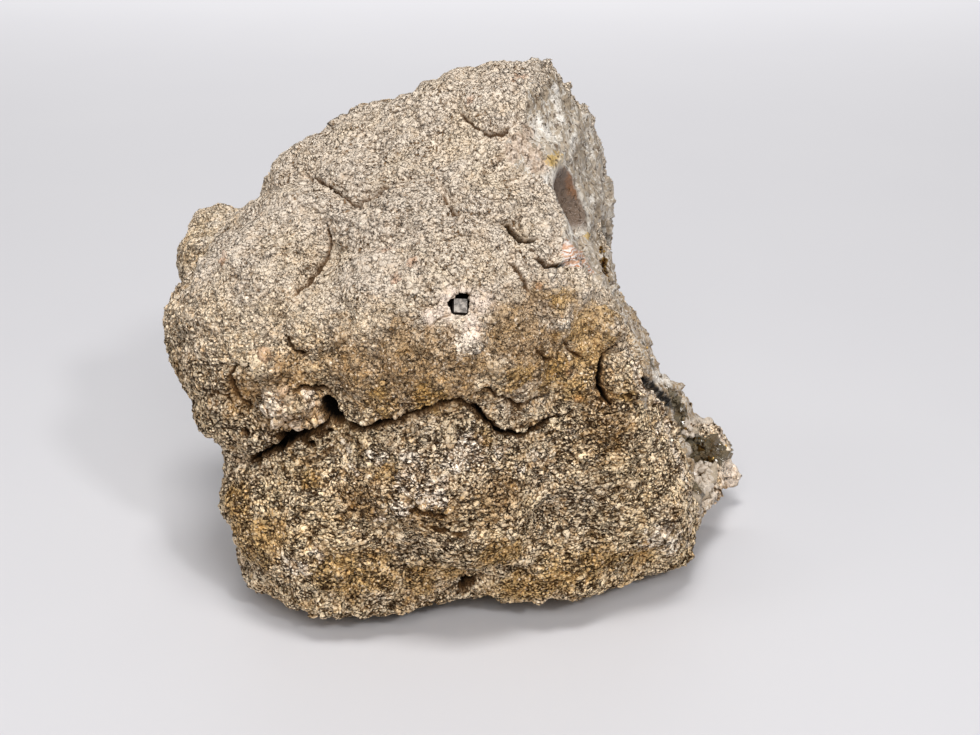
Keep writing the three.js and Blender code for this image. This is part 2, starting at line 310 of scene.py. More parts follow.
# The grains of the rind, of its lumpy parts and of the edge of the break: how many places are tried,
# the share and radius of each size, and how thick they are for their radius. Then how near they
# stand, the lowest height, how much larger they are on the far side, and from which mark on the rind
# is lumpy.
RIND_GRAINS = (500_000, [(0.004, 0.95), (0.05, 0.66), (0.946, 0.41)], 0.6)
LUMPY_GRAINS = (12_000, [(0.012, 1.5), (0.12, 0.9), (0.868, 0.52)], 1.0)
EDGE_GRAINS = (9_000, [(0.2, 0.5), (0.8, 0.36)], 0.5)
GRAIN_ROOM = 0.68
GRAIN_LOWEST = 0.3
HIDDEN_SIDE_COARSER = 0.36
LUMPY_FROM = 0.35

# Grains over this radius are knobs, and the others are crumbs. Each form has rings of points, from the
# top down: the height and radius of each, and how dark the painted shade on the form is at its top, its
# rings and its foot.
BIG_GRAIN = 0.8
KNOB = ([(0.66, 0.68), (-0.05, 1.0)], [0.0, 0.05, 0.15, 1.0])
CRUMB = ([(0.08, 1.0)], [0.0, 0.15, 1.0])
FORM_FOOT = -0.7
FORM_SIDES = 5
OVER_FLOOR = 0.02
PIECE_TRIANGLES = 195_000

# The grains on the edge of the break: how far from the rind, behind which Y, above which height.
EDGE_CRUST = 4.0
EDGE_BEHIND = -4
EDGE_ABOVE = 60

# The vug in the belly, in pixels, the way into it, and the block of quartz that shows in it: its
# size, and how far inside it starts.
VUG = (461, 305)
VUG_INWARD = Vector((-0.18, 0.78, -0.6)).normalized()
VUG_BLOCK = (3.1, 3.3, 4.0)
VUG_BELOW = 0.5

# The slot in the break that is lined with golden crystals, in pixels, how many crystals there are
# at each step along it, and their size.
SLOT = [(600, 250), (601, 255), (603, 264), (603, 272), (607, 279)]
SLOT_CRYSTALS_EACH = 2
SLOT_CRYSTAL = 0.62

# The crust of the hollow: its gap to the stone, how thick it is, and how often its way inward is
# evened out.
CRUST_GAP = 0.35
CRUST_DEPTH = (1.9, 3.1)
INWARD_ROUNDS = 12

# The crystals on it and on the far lobe: how many places are tried, and half their width. Then how
# near they stand, which share is broader, which is pyrite, from which mark on quartz is milky, and
# how far short of the break the hollow's crystals end.
HOLLOW_CRYSTALS = (48_000, 0.66)
FAR_CRYSTALS = (3_000, 0.45)
CRYSTAL_ROOM = 0.62
BROAD_SHARE = 0.004
BROADER = 2.9
PYRITE_SHARE = 0.2
PYRITE_WIDER = 1.1
MILKY_FROM = 0.4
SHORT_OF_BREAK = 0.6

# The seed of every draw. Without one, noise_vector would take the clock's.
SEED = 11
noise.seed_set(SEED)

# The studio, in metres: the floor's radius and sides, the sky, and the lights' places, sizes, powers,
# colours and aims.
FLOOR_RADIUS = 3.0
FLOOR_SIDES = 96
SKY = (0.9, 0.9, 0.92, 1)
SKY_STRENGTH = 0.2
CAMERA_SEES = (0.01, 20)
WHITE = (1, 1, 1)
SOFT_LIGHTS = {
    "overhead": ((0.0, -0.28, 1.0), (0.3, 0.25), 5.2, (1, 0.99, 0.97), (0, 0, 0.06)),
    "right": ((0.71, -1.31, 1.19), (0.16, 0.16), 9.2, WHITE, (0, 0, 0.06)),
    "left": ((-0.75, -0.35, 1.0), (0.3, 0.3), 0.9, WHITE, (0, 0, 0.06)),
    "front": ((0.0, -1.3, 1.1), (1.0, 0.6), 10.8, WHITE, (0, 0, 0.06)),
    "far_floor": ((0.0, 1.3, 0.8), (1.6, 0.4), 22.0, WHITE, (0, 1.6, 0)),
}


# ---------------------------------------------------------------------------------------------
# Numbers that vary over a surface.


def smoothstep(low, high, value):
    t = np.clip((value - low) / (high - low), 0, 1)
    return t * t * (3 - 2 * t)


def ripple(points, size, turn=0.0):
    """Smooth noise from -1 to 1, with bumps about size across. Each turn gives another one."""
    return np.array([noise.noise(Vector(p)) for p in (points / size + 13.7 * turn).tolist()])


def wandered(points, size, reach):
    """The points moved about smoothly, so that what is worked out from them looks less regular."""
    strays = [noise.noise_vector(Vector(p)) for p in (points / size + 3.1).tolist()]
    return points + reach * np.array(strays)


def cells(points, size, turn=0.0):
    """Distances to the nearest and second nearest of scattered feature points, in cells of that size."""
    found = [noise.voronoi(Vector(p))[0] for p in (points / size + 7.9 * turn).tolist()]
    near = np.array(found)
    return near[:, 0], near[:, 1]


def knobs(points, size, turn=0.0):
    """Rounded knobs with narrow creases between them, from 0 in a crease to 1."""
    first, second = cells(points, size, turn)
    return 1 - np.exp(-4.5 * (second - first))


def turned_planes(points, size, turn=0.0):
    """Flat chips, each tilted its own way: the height in cells of that size."""
    heights = []
    for p in (points / size + 5.3 * turn).tolist():
        middle = noise.voronoi(Vector(p))[1][0]
        tilt = noise.cell_vector(middle * 9.7) - Vector((0.5, 0.5, 0.5))
        heights.append((Vector(p) - middle).dot(tilt))
    return np.array(heights)


# ---------------------------------------------------------------------------------------------
# Surfaces, as arrays of points and of triangles.


def unit(vectors):
    """Each vector made one long."""
    return vectors / np.linalg.norm(vectors, axis=1, keepdims=True)


def vertex_normals(points, faces):
    corner = points[faces]
    across = np.cross(corner[:, 1] - corner[:, 0], corner[:, 2] - corner[:, 0])
    total = np.stack(
        [np.bincount(faces.ravel(), np.repeat(across[:, k], 3), len(points)) for k in range(3)], axis=1
    )
    return total / (np.linalg.norm(total, axis=1, keepdims=True) + 1e-12)


def edges_of(faces):
    pairs = np.concatenate([faces[:, [0, 1]], faces[:, [1, 2]], faces[:, [2, 0]]])
    return np.unique(np.sort(pairs, axis=1), axis=0)


def neighbour_mean(values, edges):
    ends = np.concatenate([edges[:, 0], edges[:, 1]])
    others = np.concatenate([edges[:, 1], edges[:, 0]])
    count = np.bincount(ends, minlength=len(values))
    if values.ndim == 1:
        return np.bincount(ends, values[others], len(values)) / count
    total = [np.bincount(ends, values[others, k], len(values)) for k in range(values.shape[1])]
    return np.stack(total, axis=1) / count[:, None]


def relax(points, faces, rounds, amount=0.5):
    """Smooths a surface without shrinking it."""
    edges = edges_of(faces)
    for _ in range(rounds):
        points = points + amount * (neighbour_mean(points, edges) - points)
        points = points - 1.04 * amount * (neighbour_mean(points, edges) - points)
    return points


def refined(points, faces, chosen):
    """The surface with the edges between chosen points halved."""
    mesh = bpy.data.meshes.new("draft")
    mesh.from_pydata(points.tolist(), [], faces.tolist())
    shape = bmesh.new()
    shape.from_mesh(mesh)
    picked = [e for e in shape.edges if chosen[e.verts[0].index] and chosen[e.verts[1].index]]
    bmesh.ops.subdivide_edges(shape, edges=picked, cuts=1)
    bmesh.ops.triangulate(shape, faces=shape.faces[:])
    shape.to_mesh(mesh)
    shape.free()
    result = arrays_of(mesh)
    bpy.data.meshes.remove(mesh)
    return result


def arrays_of(mesh):
    """A mesh's points and triangles."""
    points = np.empty(len(mesh.vertices) * 3)
    mesh.vertices.foreach_get("co", points)
    mesh.calc_loop_triangles()
    faces = np.empty(len(mesh.loop_triangles) * 3, dtype=np.int64)
    mesh.loop_triangles.foreach_get("vertices", faces)
    return points.reshape(-1, 3), faces.reshape(-1, 3)


def remeshed(node, grid):
    """The CAD node's surface on an even grid, in millimetres."""
    draft = bpy.data.objects.new("draft", node.data.copy())
    bpy.context.scene.collection.objects.link(draft)
    remesh = draft.modifiers.new("grid", "REMESH")
    remesh.mode = "VOXEL"
    remesh.voxel_size = grid * MM
    depsgraph = bpy.context.evaluated_depsgraph_get()
    mesh = bpy.data.meshes.new_from_object(draft.evaluated_get(depsgraph))
    points, faces = arrays_of(mesh)
    bpy.data.objects.remove(draft)
    bpy.data.meshes.remove(mesh)
    return points / MM, faces


def make_piece(name, points, faces, materials, slot, marks=None, smooth=True, face_material=None):
    """A shown piece of the geode that rides on the stone's body."""
    mesh = bpy.data.meshes.new(name)
    mesh.from_pydata((points * MM).tolist(), [], faces.tolist())
    for material in materials:
        mesh.materials.append(material)
    if face_material is not None:
        mesh.polygons.foreach_set("material_index", face_material.astype(np.int32))
    mesh.polygons.foreach_set("use_smooth", np.full(len(faces), smooth))
    for mark, values in (marks or {}).items():
        layer = mesh.attributes.new(mark, "FLOAT", "POINT")
        layer.data.foreach_set("value", np.asarray(values, dtype=np.float32))
    mesh.update()
    piece = bpy.data.objects.new(name, mesh)
    bpy.context.scene.collection.objects.link(piece)
    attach(piece, "root")
    return piece


# ---------------------------------------------------------------------------------------------
# The view, and places given by a pixel of the picture.

BACKWARD = np.array([0.0, -math.cos(LOOK_DOWN), math.sin(LOOK_DOWN)])
RIGHT = np.array([1.0, 0.0, 0.0])
UPWARD = np.array([0.0, math.sin(LOOK_DOWN), math.cos(LOOK_DOWN)])
CAMERA_AT = LOOK_AT + CAMERA_AWAY * BACKWARD


def sight(pixel):
    """The direction in which the camera sees a pixel."""
    across, down = pixel[0] - PICTURE_SIZE[0] / 2, pixel[1] - PICTURE_SIZE[1] / 2
    return Vector(-BACKWARD * FOCAL_PIXELS + RIGHT * across - UPWARD * down).normalized()


def pixels_of(points):
    """Where points show in the picture."""
    offset = points - CAMERA_AT
    depth = -(offset @ BACKWARD)
    u = PICTURE_SIZE[0] / 2 + FOCAL_PIXELS * (offset @ RIGHT) / depth
    v = PICTURE_SIZE[1] / 2 - FOCAL_PIXELS * (offset @ UPWARD) / depth
    return u, v


def from_pixel(points, pixel, half):
    """How far points show from a pixel, as a share of a patch's half size."""
    u, v = pixels_of(points)
    return np.hypot((u - pixel[0]) / half[0], (v - pixel[1]) / half[1])


def on_surface(tree, pixel):
    """The point of a surface that shows at a pixel, or None."""
    hit = tree.ray_cast(Vector(CAMERA_AT), sight(pixel))[0]
    return None if hit is None else np.array(hit)


def path_on(tree, pixels, step=1.6, wander=1.0):
    """A path on the surface, crooked between the points given."""
    found = []
    for start, end in zip(pixels[:-1], pixels[1:]):
        count = max(1, round(math.dist(start, end) / step))
        for i in range(count):
            t = i / count
            u, v = (start[k] + t * (end[k] - start[k]) for k in range(2))
            bend = noise.noise_vector(Vector((u / 9, v / 9, 0.5))) * 1.6
            kink = noise.noise_vector(Vector((u / 3, v / 3, 4.5))) * 1.1
            stray = (bend + kink) * wander
            found.append(on_surface(tree, (u + stray.x, v + stray.y)))
    found.append(on_surface(tree, pixels[-1]))
    return np.array([p for p in found if p is not None])


def distance_to_path(points, path, reach):
    """Each point's distance to a path, or reach where it is further, and the place along the path
    that is nearest, from 0 to 1."""
    distance, place = np.full(len(points), float(reach)), np.zeros(len(points))
    low, high = path.min(axis=0) - reach, path.max(axis=0) + reach
    near = np.where(((points > low) & (points < high)).all(axis=1))[0]
    p, best, where = points[near], distance[near], place[near]
    for i, (a, b) in enumerate(zip(path[:-1], path[1:])):
        along = b - a
        t = np.clip(((p - a) @ along) / max(along @ along, 1e-9), 0, 1)
        apart = np.linalg.norm(p - (a + t[:, None] * along), axis=1)
        closer = apart < best
        best[closer], where[closer] = apart[closer], (i + t[closer]) / (len(path) - 1)
    distance[near], place[near] = best, where
    return distance, place


def places_on(tree, rows):
    """For each row, the point of the surface that shows at its pixel, and the rest of the row."""
    found = [(on_surface(tree, (u, v)), *rest) for u, v, *rest in rows]
    return [row for row in found if row[0] is not None]


def stain(points, spots, fray):
    """From 0 to 1, how deep a point lies in any of the spots, whose edges are frayed."""
    depth = np.zeros(len(points))
    for middle, reach in spots:
        distance = np.linalg.norm(points - middle, axis=1) / reach
        depth = np.maximum(depth, smoothstep(1.25, 0.35, distance + 0.45 * fray))
    return depth


# ---------------------------------------------------------------------------------------------
# Where the stone is rind, break, hollow or pocket.

RIND, BROKEN, HOLLOW, POCKET = range(4)


def break_x(y, z):
    """The X of the break's surface, without its chips."""
    rows = np.array(BREAK_LINE, dtype=float)
    upper = np.clip(np.searchsorted(rows[:, 0], z), 1, len(rows) - 1)
    low, high = rows[upper - 1], rows[upper]
    t = smoothstep(0, 1, (z - low[:, 0]) / (high[:, 0] - low[:, 0]))
    x = low[:, 1] + t * (high[:, 1] - low[:, 1])
    lean = low[:, 2] + t * (high[:, 2] - low[:, 2])
    return x + lean * y


def past_break(points):
    """How far each point is past the break's surface, and that surface's direction there."""
    y, z = points[:, 1], points[:, 2]
    slope_y = break_x(y + 0.5, z) - break_x(y - 0.5, z)
    slope_z = break_x(y, z + 0.5) - break_x(y, z - 0.5)
    out = unit(np.stack([np.ones(len(points)), -slope_y, -slope_z], axis=1))
    return (points[:, 0] - break_x(y, z)) * out[:, 0], out


def kinds_of(points, normals):
    """What each point of the stone's surface is: rind, broken face, hollow or pocket."""
    past, out = past_break(points)
    facing_out = (normals * out).sum(axis=1)
    u, v = pixels_of(points)
    rim = np.array(FRONT_RIM, dtype=float)
    ragged = 2.5 * ripple(points, 4, 3)
    left_of_rim = u + ragged < np.interp(v, rim[:, 1], rim[:, 0])
    seen = ((CAMERA_AT - points) * normals).sum(axis=1) > 0
    far_lobe = seen & (v > FAR_LOBE_BELOW) & (points[:, 1] > FAR_PATCH_BEHIND)
    from_patch = from_pixel(points, FAR_PATCH, FAR_PATCH_HALF)
    far_patch = far_lobe & (from_patch + 0.25 * ripple(points, 3, 3) < 1)
    wall_end = (u > WALL_END[0]) & (v < WALL_END[1])
    in_front = seen & ((points[:, 1] < FRONT_SIDE) | wall_end)
    on_front_break = (past > -FRONT_BREAK[0]) & (facing_out > FRONT_BREAK[1])
    on_back_break = (past > -BACK_BREAK[0]) & (facing_out > BACK_BREAK[1])
    front_break = ~left_of_rim & (on_front_break | (v < ALL_BROKEN_ABOVE))
    broken = np.where(in_front, front_break, on_back_break) & ~far_lobe
    kind = np.where(broken | far_patch, BROKEN, RIND)
    from_pocket = (points - POCKET_MIDDLE) / POCKET_HALF
    hollowed = (normals * from_pocket).sum(axis=1) < 0
    in_pocket = (np.linalg.norm(from_pocket, axis=1) < POCKET_ROOM) & hollowed
    kind[in_pocket & (past > -POCKET_WALL)] = POCKET
    from_hollow = points - HOLLOW_HEART
    inward = (normals * from_hollow).sum(axis=1) < 0
    near = np.linalg.norm(from_hollow, axis=1) < HOLLOW_REACH
    kind[inward & near & (kind == RIND) & (points[:, 2] > HOLLOW_FLOOR) & (past < 1)] = HOLLOW
    return kind


# ---------------------------------------------------------------------------------------------
# Shaders.


class Value:
    """A number that varies over a surface. Arithmetic on it adds Math nodes."""

    def __init__(self, shader, socket):
        self.shader, self.socket = shader, socket

    def __add__(self, other):
        return self.shader.maths("ADD", self, other)

    __radd__ = __add__

    def __sub__(self, other):
        return self.shader.maths("SUBTRACT", self, other)

    def __rsub__(self, other):
        return self.shader.maths("SUBTRACT", other, self)

    def __mul__(self, other):
        return self.shader.maths("MULTIPLY", self, other)

    __rmul__ = __mul__

    def held(self):
        """Kept between 0 and 1."""
        return self.shader.maths("ADD", self, 0.0, clamp=True)


class Shader:
    """A material whose surface is one Principled shader."""

    def __init__(self, name, **constants):
        self.material = bpy.data.materials.new(name)
        self.material.use_nodes = True
        self.tree = self.material.node_tree
        self.surface = self.tree.nodes["Principled BSDF"]
        for socket, value in constants.items():
            self.surface.inputs[socket.replace("_", " ")].default_value = value
        self.place = self.add("ShaderNodeTexCoord").outputs["Object"]

    def add(self, kind, settings=None, inputs=None):
        """Any node: its settings are set first, then its sockets are set or linked."""
        node = self.tree.nodes.new(kind)
        for name, value in (settings or {}).items():
            setattr(node, name, value)
        for name, value in (inputs or {}).items():
            socket = name
            if isinstance(name, str):
                socket = next(i for i, s in enumerate(node.inputs) if s.name == name and s.enabled)
            self.feed(node.inputs[socket], value)
        return node

    def feed(self, socket, value):
        if isinstance(value, Value):
            value = value.socket
        if isinstance(value, bpy.types.NodeSocket):
            self.tree.links.new(value, socket)
        else:
            socket.default_value = value

    def maths(self, operation, a, b, clamp=False):
        node = self.add("ShaderNodeMath", {"operation": operation, "use_clamp": clamp}, {0: a, 1: b})
        return Value(self, node.outputs[0])

    def mark(self, name):
        """A number that the mesh holds at its points."""
        return Value(self, self.add("ShaderNodeAttribute", {"attribute_name": name}).outputs["Fac"])

    def specks(self, size, detail=3.0, roughness=0.6, stretch=(1, 1, 1)):
        """Noise from 0 to 1 with features of that size in millimetres."""
        place = self.add("ShaderNodeMapping", {}, {"Vector": self.place, "Scale": stretch})
        inputs = {"Vector": place.outputs[0], "Scale": 1 / (size * MM), "Detail": detail}
        node = self.add("ShaderNodeTexNoise", {}, {**inputs, "Roughness": roughness})
        return Value(self, node.outputs[0])

    def step(self, value, low, high):
        """From 0 at low to 1 at high, smoothly."""
        settings = {"interpolation_type": "SMOOTHSTEP"}
        inputs = {"Value": value, "From Min": low, "From Max": high}
        return Value(self, self.add("ShaderNodeMapRange", settings, inputs).outputs[0])

    def winding(self, noise_value):
        """How far a noise is from its middle: 0 along winding lines."""
        return self.maths("ABSOLUTE", noise_value - 0.5, 0.0)

    def mix(self, amount, below, above):
        settings = {"data_type": "RGBA"}
        inputs = {"Factor": amount, "A": below, "B": above}
        node = self.add("ShaderNodeMix", settings, inputs)
        return next(s for s in node.outputs if s.enabled)

    def shade(self, colour, amount):
        """The colour made lighter or darker."""
        inputs = {0: colour, "Scale": amount}
        return self.add("ShaderNodeVectorMath", {"operation": "SCALE"}, inputs).outputs[0]

    def bump(self, height, depth):
        """Relief of that depth in millimetres."""
        inputs = {"Height": height, "Distance": depth * MM, "Strength": 1.0}
        self.feed(self.surface.inputs["Normal"], self.add("ShaderNodeBump", {}, inputs).outputs[0])

    def paint(self, colour, roughness=None):
        self.feed(self.surface.inputs["Base Color"], colour)
        if roughness is not None:
            self.feed(self.surface.inputs["Roughness"], roughness)
        return self.material


def shown(red, green, blue):
    """A colour as seen on a screen, from 0 to 255, as Blender's linear colour."""
    parts = [c / 255 for c in (red, green, blue)]
    return (*((p / 12.92 if p < 0.04 else ((p + 0.055) / 1.055) ** 2.4) for p in parts), 1.0)


# The rind.
PALE_RIND = shown(219, 205, 188)
TAN_RIND = shown(227, 204, 167)
DUSKY_RIND = shown(156, 126, 88)
OCHRE_RIND = shown(184, 146, 84)
GOLDEN_RIND = shown(180, 138, 78)
RUST_RIND = shown(190, 128, 84)
HALO_RIND = shown(220, 202, 188)
# Chalk white, for chalky patches and for the painted highlights.
CHALK_AND_HIGHLIGHT = shown(243, 229, 210)
PALE_GREY = shown(226, 212, 196)
# Amber, then crevice brown: painted shade in the gaps between grains, in pits and in the creases between
# domes. Crease brown is painted shade at fold bottoms, and the near black painted shade in cracks.
AMBER_HIGH = shown(180, 144, 100)
AMBER_LOW = shown(156, 110, 50)
CREVICE_SHADE_HIGH = shown(118, 82, 38)
SHADE_HIGH = shown(146, 112, 72)
SHADE_LOW = shown(112, 74, 28)
CREVICE_SHADE_LOW = shown(60, 35, 8)
CREASE_SHADE = shown(112, 80, 48)
CRACK_SHADE = shown(18, 11, 5)

# The chalcedony, from grey to white, and its tan lower part, each dark then pale.
GREY_WALL = (shown(142, 124, 100), shown(196, 182, 164))
TAN_WALL = (shown(138, 110, 76), shown(192, 168, 136))
WHITE_STREAK = shown(232, 226, 216)
BROWN_STREAK = shown(126, 104, 78)
WHITE_THREAD = shown(238, 234, 226)
MILKY_WHITE = shown(236, 230, 221)
CHIPPED = (shown(140, 108, 82), shown(224, 200, 178))
PINK_BANDS = (shown(232, 220, 212), shown(206, 158, 126))
RUST_BAND = shown(190, 120, 74)
SULPHUR = shown(190, 154, 72)
SMOKY = (shown(78, 62, 48), shown(140, 118, 100))
AMBER_GLAZE = shown(150, 98, 52)
POCKET_LIP = shown(228, 220, 208)
FAR_DRUSE = (shown(26, 21, 9), shown(96, 86, 56))
BROWN_SPECK = shown(92, 68, 42)

# The druse and its crystals, each dark then pale.
DRUSE_GROUND = (shown(40, 31, 17), shown(92, 75, 48))
DUSTY_GROUND = shown(150, 132, 106)
PALE_GROUND = shown(206, 188, 164)
QUARTZ = (shown(146, 126, 92), shown(214, 200, 172))
SMOKY_QUARTZ = shown(140, 108, 68)
MILKY_QUARTZ = (shown(178, 160, 142), shown(234, 222, 206))
GREY_QUARTZ = (shown(92, 84, 76), shown(176, 166, 156))
BRASS = shown(168, 134, 78)
TARNISH = shown(74, 52, 28)

FLOOR = (shown(213, 212, 216), shown(217, 216, 219))


def rind_material():
    """Crumbly beige rind with ochre stains and chalky patches, painted shade in its crevices, cracks,
    folds and foot, and painted highlights.
    """
    s = Shader("rind", Roughness=0.92)
    s.surface.inputs["Specular IOR Level"].default_value = 0.12
    patchy = s.specks(7, 3.0)
    crumb = s.specks(1.1, 2.0, 0.6)
    fine = s.specks(0.42, 3.0, 0.7)
    low = s.mark("warm")
    warm = (low * 0.75 + (s.specks(24, 2.0) - 0.5) * 1.1 + (patchy - 0.5) * 0.9 + 0.05).held()
    colour = s.mix(warm, PALE_RIND, TAN_RIND)
    # Darker patches, partly painted shade under the belly and by the nodule.
    colour = s.mix(s.mark("dusky") * 0.8, colour, DUSKY_RIND)
    ochre = s.step(s.mark("ochre") + (patchy - 0.5) * 1.2 + (crumb - 0.5) * 0.8, 0.1, 1.1)
    colour = s.mix(ochre * 0.75, colour, OCHRE_RIND)
    rust = s.step(s.mark("rusty") + (patchy - 0.5) * 0.7 + (crumb - 0.5), 0.3, 1.0)
    colour = s.mix(rust * 0.4, colour, RUST_RIND)
    colour = s.mix(s.mark("halo") * 0.7, colour, HALO_RIND)
    colour = s.mix(s.mark("pale") * 0.75, colour, PALE_GREY)
    chalk = s.step(s.mark("chalky") + (s.specks(1.8, 3.0) - 0.5) * 2.2 + (fine - 0.5), 0.45, 0.8)
    colour = s.mix(chalk * 0.8, colour, CHALK_AND_HIGHLIGHT)
    golden = s.step(s.specks(2.6, 3.0, 0.6), 0.5, 0.68) * (low * 0.35 + 0.2)
    colour = s.mix(golden, colour, GOLDEN_RIND)
    # Sparse white specks: painted highlights.
    colour = s.mix(s.step(s.specks(0.9, 2.0), 0.58, 0.7) * 0.6, colour, CHALK_AND_HIGHLIGHT)
    contrast = low * 0.6 + 0.6
    mottle = ((crumb - 0.5) * 1.15 + (fine - 0.5) * 0.6) * contrast + (low * 0.27 + 1.06)
    colour = s.shade(colour, s.mark("tone") * mottle)
    shaded = s.step(mottle, 1.1, 0.7) * (low * 0.3 + 0.3)
    colour = s.mix(shaded, colour, s.mix(low, SHADE_HIGH, SHADE_LOW))
    calm = 1 - (s.mark("halo") * 0.8).held()
    # Gashes and worms: dark winding crevices, painted shade in the dips that the bump makes.
    gash = s.step(s.winding(s.specks(2.8, 2.0, 0.5, (1, 1, 1.8))), 0.045, 0.015)
    gash = gash * s.step(s.specks(4.5, 1.0), 0.44, 0.5) * calm * low
    worm = s.step(s.winding(s.specks(1.7, 1.5)), 0.06, 0.02)
    worm = worm * s.step(s.specks(1.5, 1.0), 0.52, 0.6) * calm
    # Painted shade where grains meet, between domes and in cracks: darker toward amber, then crevice
    # brown.
    gap = s.mark("deep") * contrast + (0.5 - fine) * 0.4 + (0.5 - crumb) * 0.5
    amber, crevice_shade = s.mix(low, AMBER_HIGH, AMBER_LOW), s.mix(low, CREVICE_SHADE_HIGH, CREVICE_SHADE_LOW)
    colour = s.mix(s.step(gap, 0.12, 0.6) * (low * 0.3 + 0.3), colour, amber)
    colour = s.mix(s.step(gap, 0.62, 0.95) * 0.95, colour, crevice_shade)
    # Pits: painted shade in small hollows, which the bump also dips.
    pitted = s.step(s.specks(9, 3.0, 0.6), 0.4, 0.6)
    pit = s.step(s.specks(0.85, 1.5, 0.5), 0.42, 0.35) * pitted * calm
    pit = s.maths("MAXIMUM", pit, s.step(s.specks(0.5, 1.5), 0.38, 0.31) * calm * 0.7)
    pit = s.maths("MAXIMUM", pit, worm * contrast * 0.8)
    colour = s.mix((pit * 0.85).held(), colour, crevice_shade)
    colour = s.mix(gash * 0.9, colour, CREVICE_SHADE_LOW)
    # Painted shade on the lowest few millimetres, just over the floor.
    colour = s.mix(s.mark("foot") * 0.85, colour, CREVICE_SHADE_LOW)
    # Painted shade at the bottoms of folds and along cracks.
    colour = s.mix(s.mark("creased") * 0.85, colour, CREASE_SHADE)
    # Painted shade, near black, in the deep cracks.
    colour = s.mix(s.mark("crack_shade"), colour, CRACK_SHADE)
    s.bump(crumb * 0.9 + fine * 0.5 - gash * 1.8 - pit * 1.2, 0.45)
    return s.paint(colour)


def chalcedony_material():
    """Waxy wall of the break: grey and white, tan lower down, with a smoky pocket, and painted shade in
    its cracks and along the slot by the far lobe.
    """
    s = Shader("chalcedony", Coat_Weight=0.12, Coat_Roughness=0.25)
    broad = s.specks(9, 3.0, 0.6, (1, 1, 0.5))
    streaks = s.specks(2.2, 4.0, 0.65, (1, 1, 0.4))
    fine = s.specks(0.8, 3.0, 0.7)
    tiny = s.specks(0.35, 2.0, 0.6)
    colour = s.mix((broad * 1.8 - 0.4).held(), *GREY_WALL)
    tan = s.mix(broad, *TAN_WALL)
    colour = s.mix((s.mark("warm") * 1.1 + (broad - 0.5) * 0.8).held(), colour, tan)
    colour = s.mix(s.step(streaks, 0.5, 0.7) * 0.6, colour, WHITE_STREAK)
    colour = s.mix(s.step(streaks, 0.46, 0.3) * 0.6, colour, BROWN_STREAK)
    thread = s.step(s.winding(s.specks(2.6, 3.0, 0.6, (1, 1, 0.5))), 0.04, 0.005)
    colour = s.mix(thread * 0.55, colour, WHITE_THREAD)
    white = s.step(s.mark("whiter") + (streaks - 0.5) * 2.4 + (fine - 0.5) * 1.4, 0.3, 1.3)
    colour = s.mix(white * 0.85, colour, MILKY_WHITE)
    chips = s.step(s.mark("chips") + (fine - 0.5) * 1.6 + (streaks - 0.5) * 1.6, 0.2, 0.9)
    colour = s.mix(chips * 0.6, colour, s.mix(s.step(fine, 0.4, 0.62), *CHIPPED))
    height = s.add("ShaderNodeSeparateXYZ", {}, {0: s.place}).outputs["Z"]
    turns = Value(s, height) * (2 * math.pi / (LAYER * MM)) + s.specks(3.5, 1.5) * 14
    layer = s.maths("SINE", turns, 0.0)
    banded = s.mix(s.step(layer, 0.0, 0.8), *PINK_BANDS)
    banded = s.mix(s.step(layer, -0.8, -0.97), banded, RUST_BAND)
    colour = s.mix(s.step(s.mark("banded") + (fine - 0.5) * 0.8, 0.2, 0.6) * 0.9, colour, banded)
    yellow = s.step(s.mark("yellow") + (fine - 0.5) * 1.6 + (tiny - 0.5) * 0.8, 0.3, 0.8)
    colour = s.mix(yellow * 0.8, colour, SULPHUR)
    colour = s.mix(s.mark("pale") * 0.7, colour, PALE_GREY)
    glazed = s.step(s.mark("glazed") + (fine - 0.5) * 0.6, 0.3, 0.9)
    glaze = s.mix(glazed * 0.55, s.mix(streaks, *SMOKY), AMBER_GLAZE)
    colour = s.mix(s.mark("pocket_lip") * 0.7, colour, POCKET_LIP)
    colour = s.mix(s.mark("smoky"), colour, glaze)
    colour = s.mix(s.mark("far_druse"), colour, s.mix(s.step(tiny, 0.42, 0.6), *FAR_DRUSE))
    colour = s.shade(colour, s.mark("tone") * (1 + (fine - 0.5) * 1.1 + (tiny - 0.5) * 0.6))
    specks = s.step(s.specks(1.2, 2.0, 0.6, (1, 1, 0.55)), 0.42, 0.33)
    colour = s.mix(specks * 0.8 * (1 - s.mark("smoky")), colour, BROWN_SPECK)
    # Painted shade in the deep cracks and along the slot by the far lobe, which is also made rougher.
    colour = s.mix(s.maths("MAXIMUM", s.mark("crack_shade"), s.mark("slot_shade")), colour, CRACK_SHADE)
    s.bump(streaks * 0.8 + fine * 0.8 + tiny * 0.3 - specks * 0.8, 0.5)
    return s.paint(colour, 0.62 - s.mark("smoky") * 0.3 - fine * 0.15 + s.mark("slot_shade") * 0.4)


def druse_material():
    """The dull grey-green ground that the crystals stand on."""
    s = Shader("druse_ground", Roughness=0.55)
    broad = s.specks(5, 3.0)
    fine = s.specks(0.7, 3.0)
    colour = s.mix(broad, *DRUSE_GROUND)
    colour = s.mix(s.step(s.specks(3, 2.0), 0.56, 0.68) * 0.6, colour, DUSTY_GROUND)
    colour = s.mix(s.mark("pale") * 0.9, colour, PALE_GROUND)
    colour = s.shade(colour, 0.7 + fine * 0.6)
    s.bump(fine, 0.5)
    return s.paint(colour)


def quartz_material():
    """Smoky, nearly clear quartz."""
    constants = {"Roughness": 0.06, "IOR": 1.544, "Transmission_Weight": 0.72}
    s = Shader("quartz", **constants)
    veil = s.specks(1.6, 3.0)
    colour = s.mix(veil, *QUARTZ)
    return s.paint(s.mix(s.step(s.specks(7, 2.0), 0.5, 0.66) * 0.5, colour, SMOKY_QUARTZ))


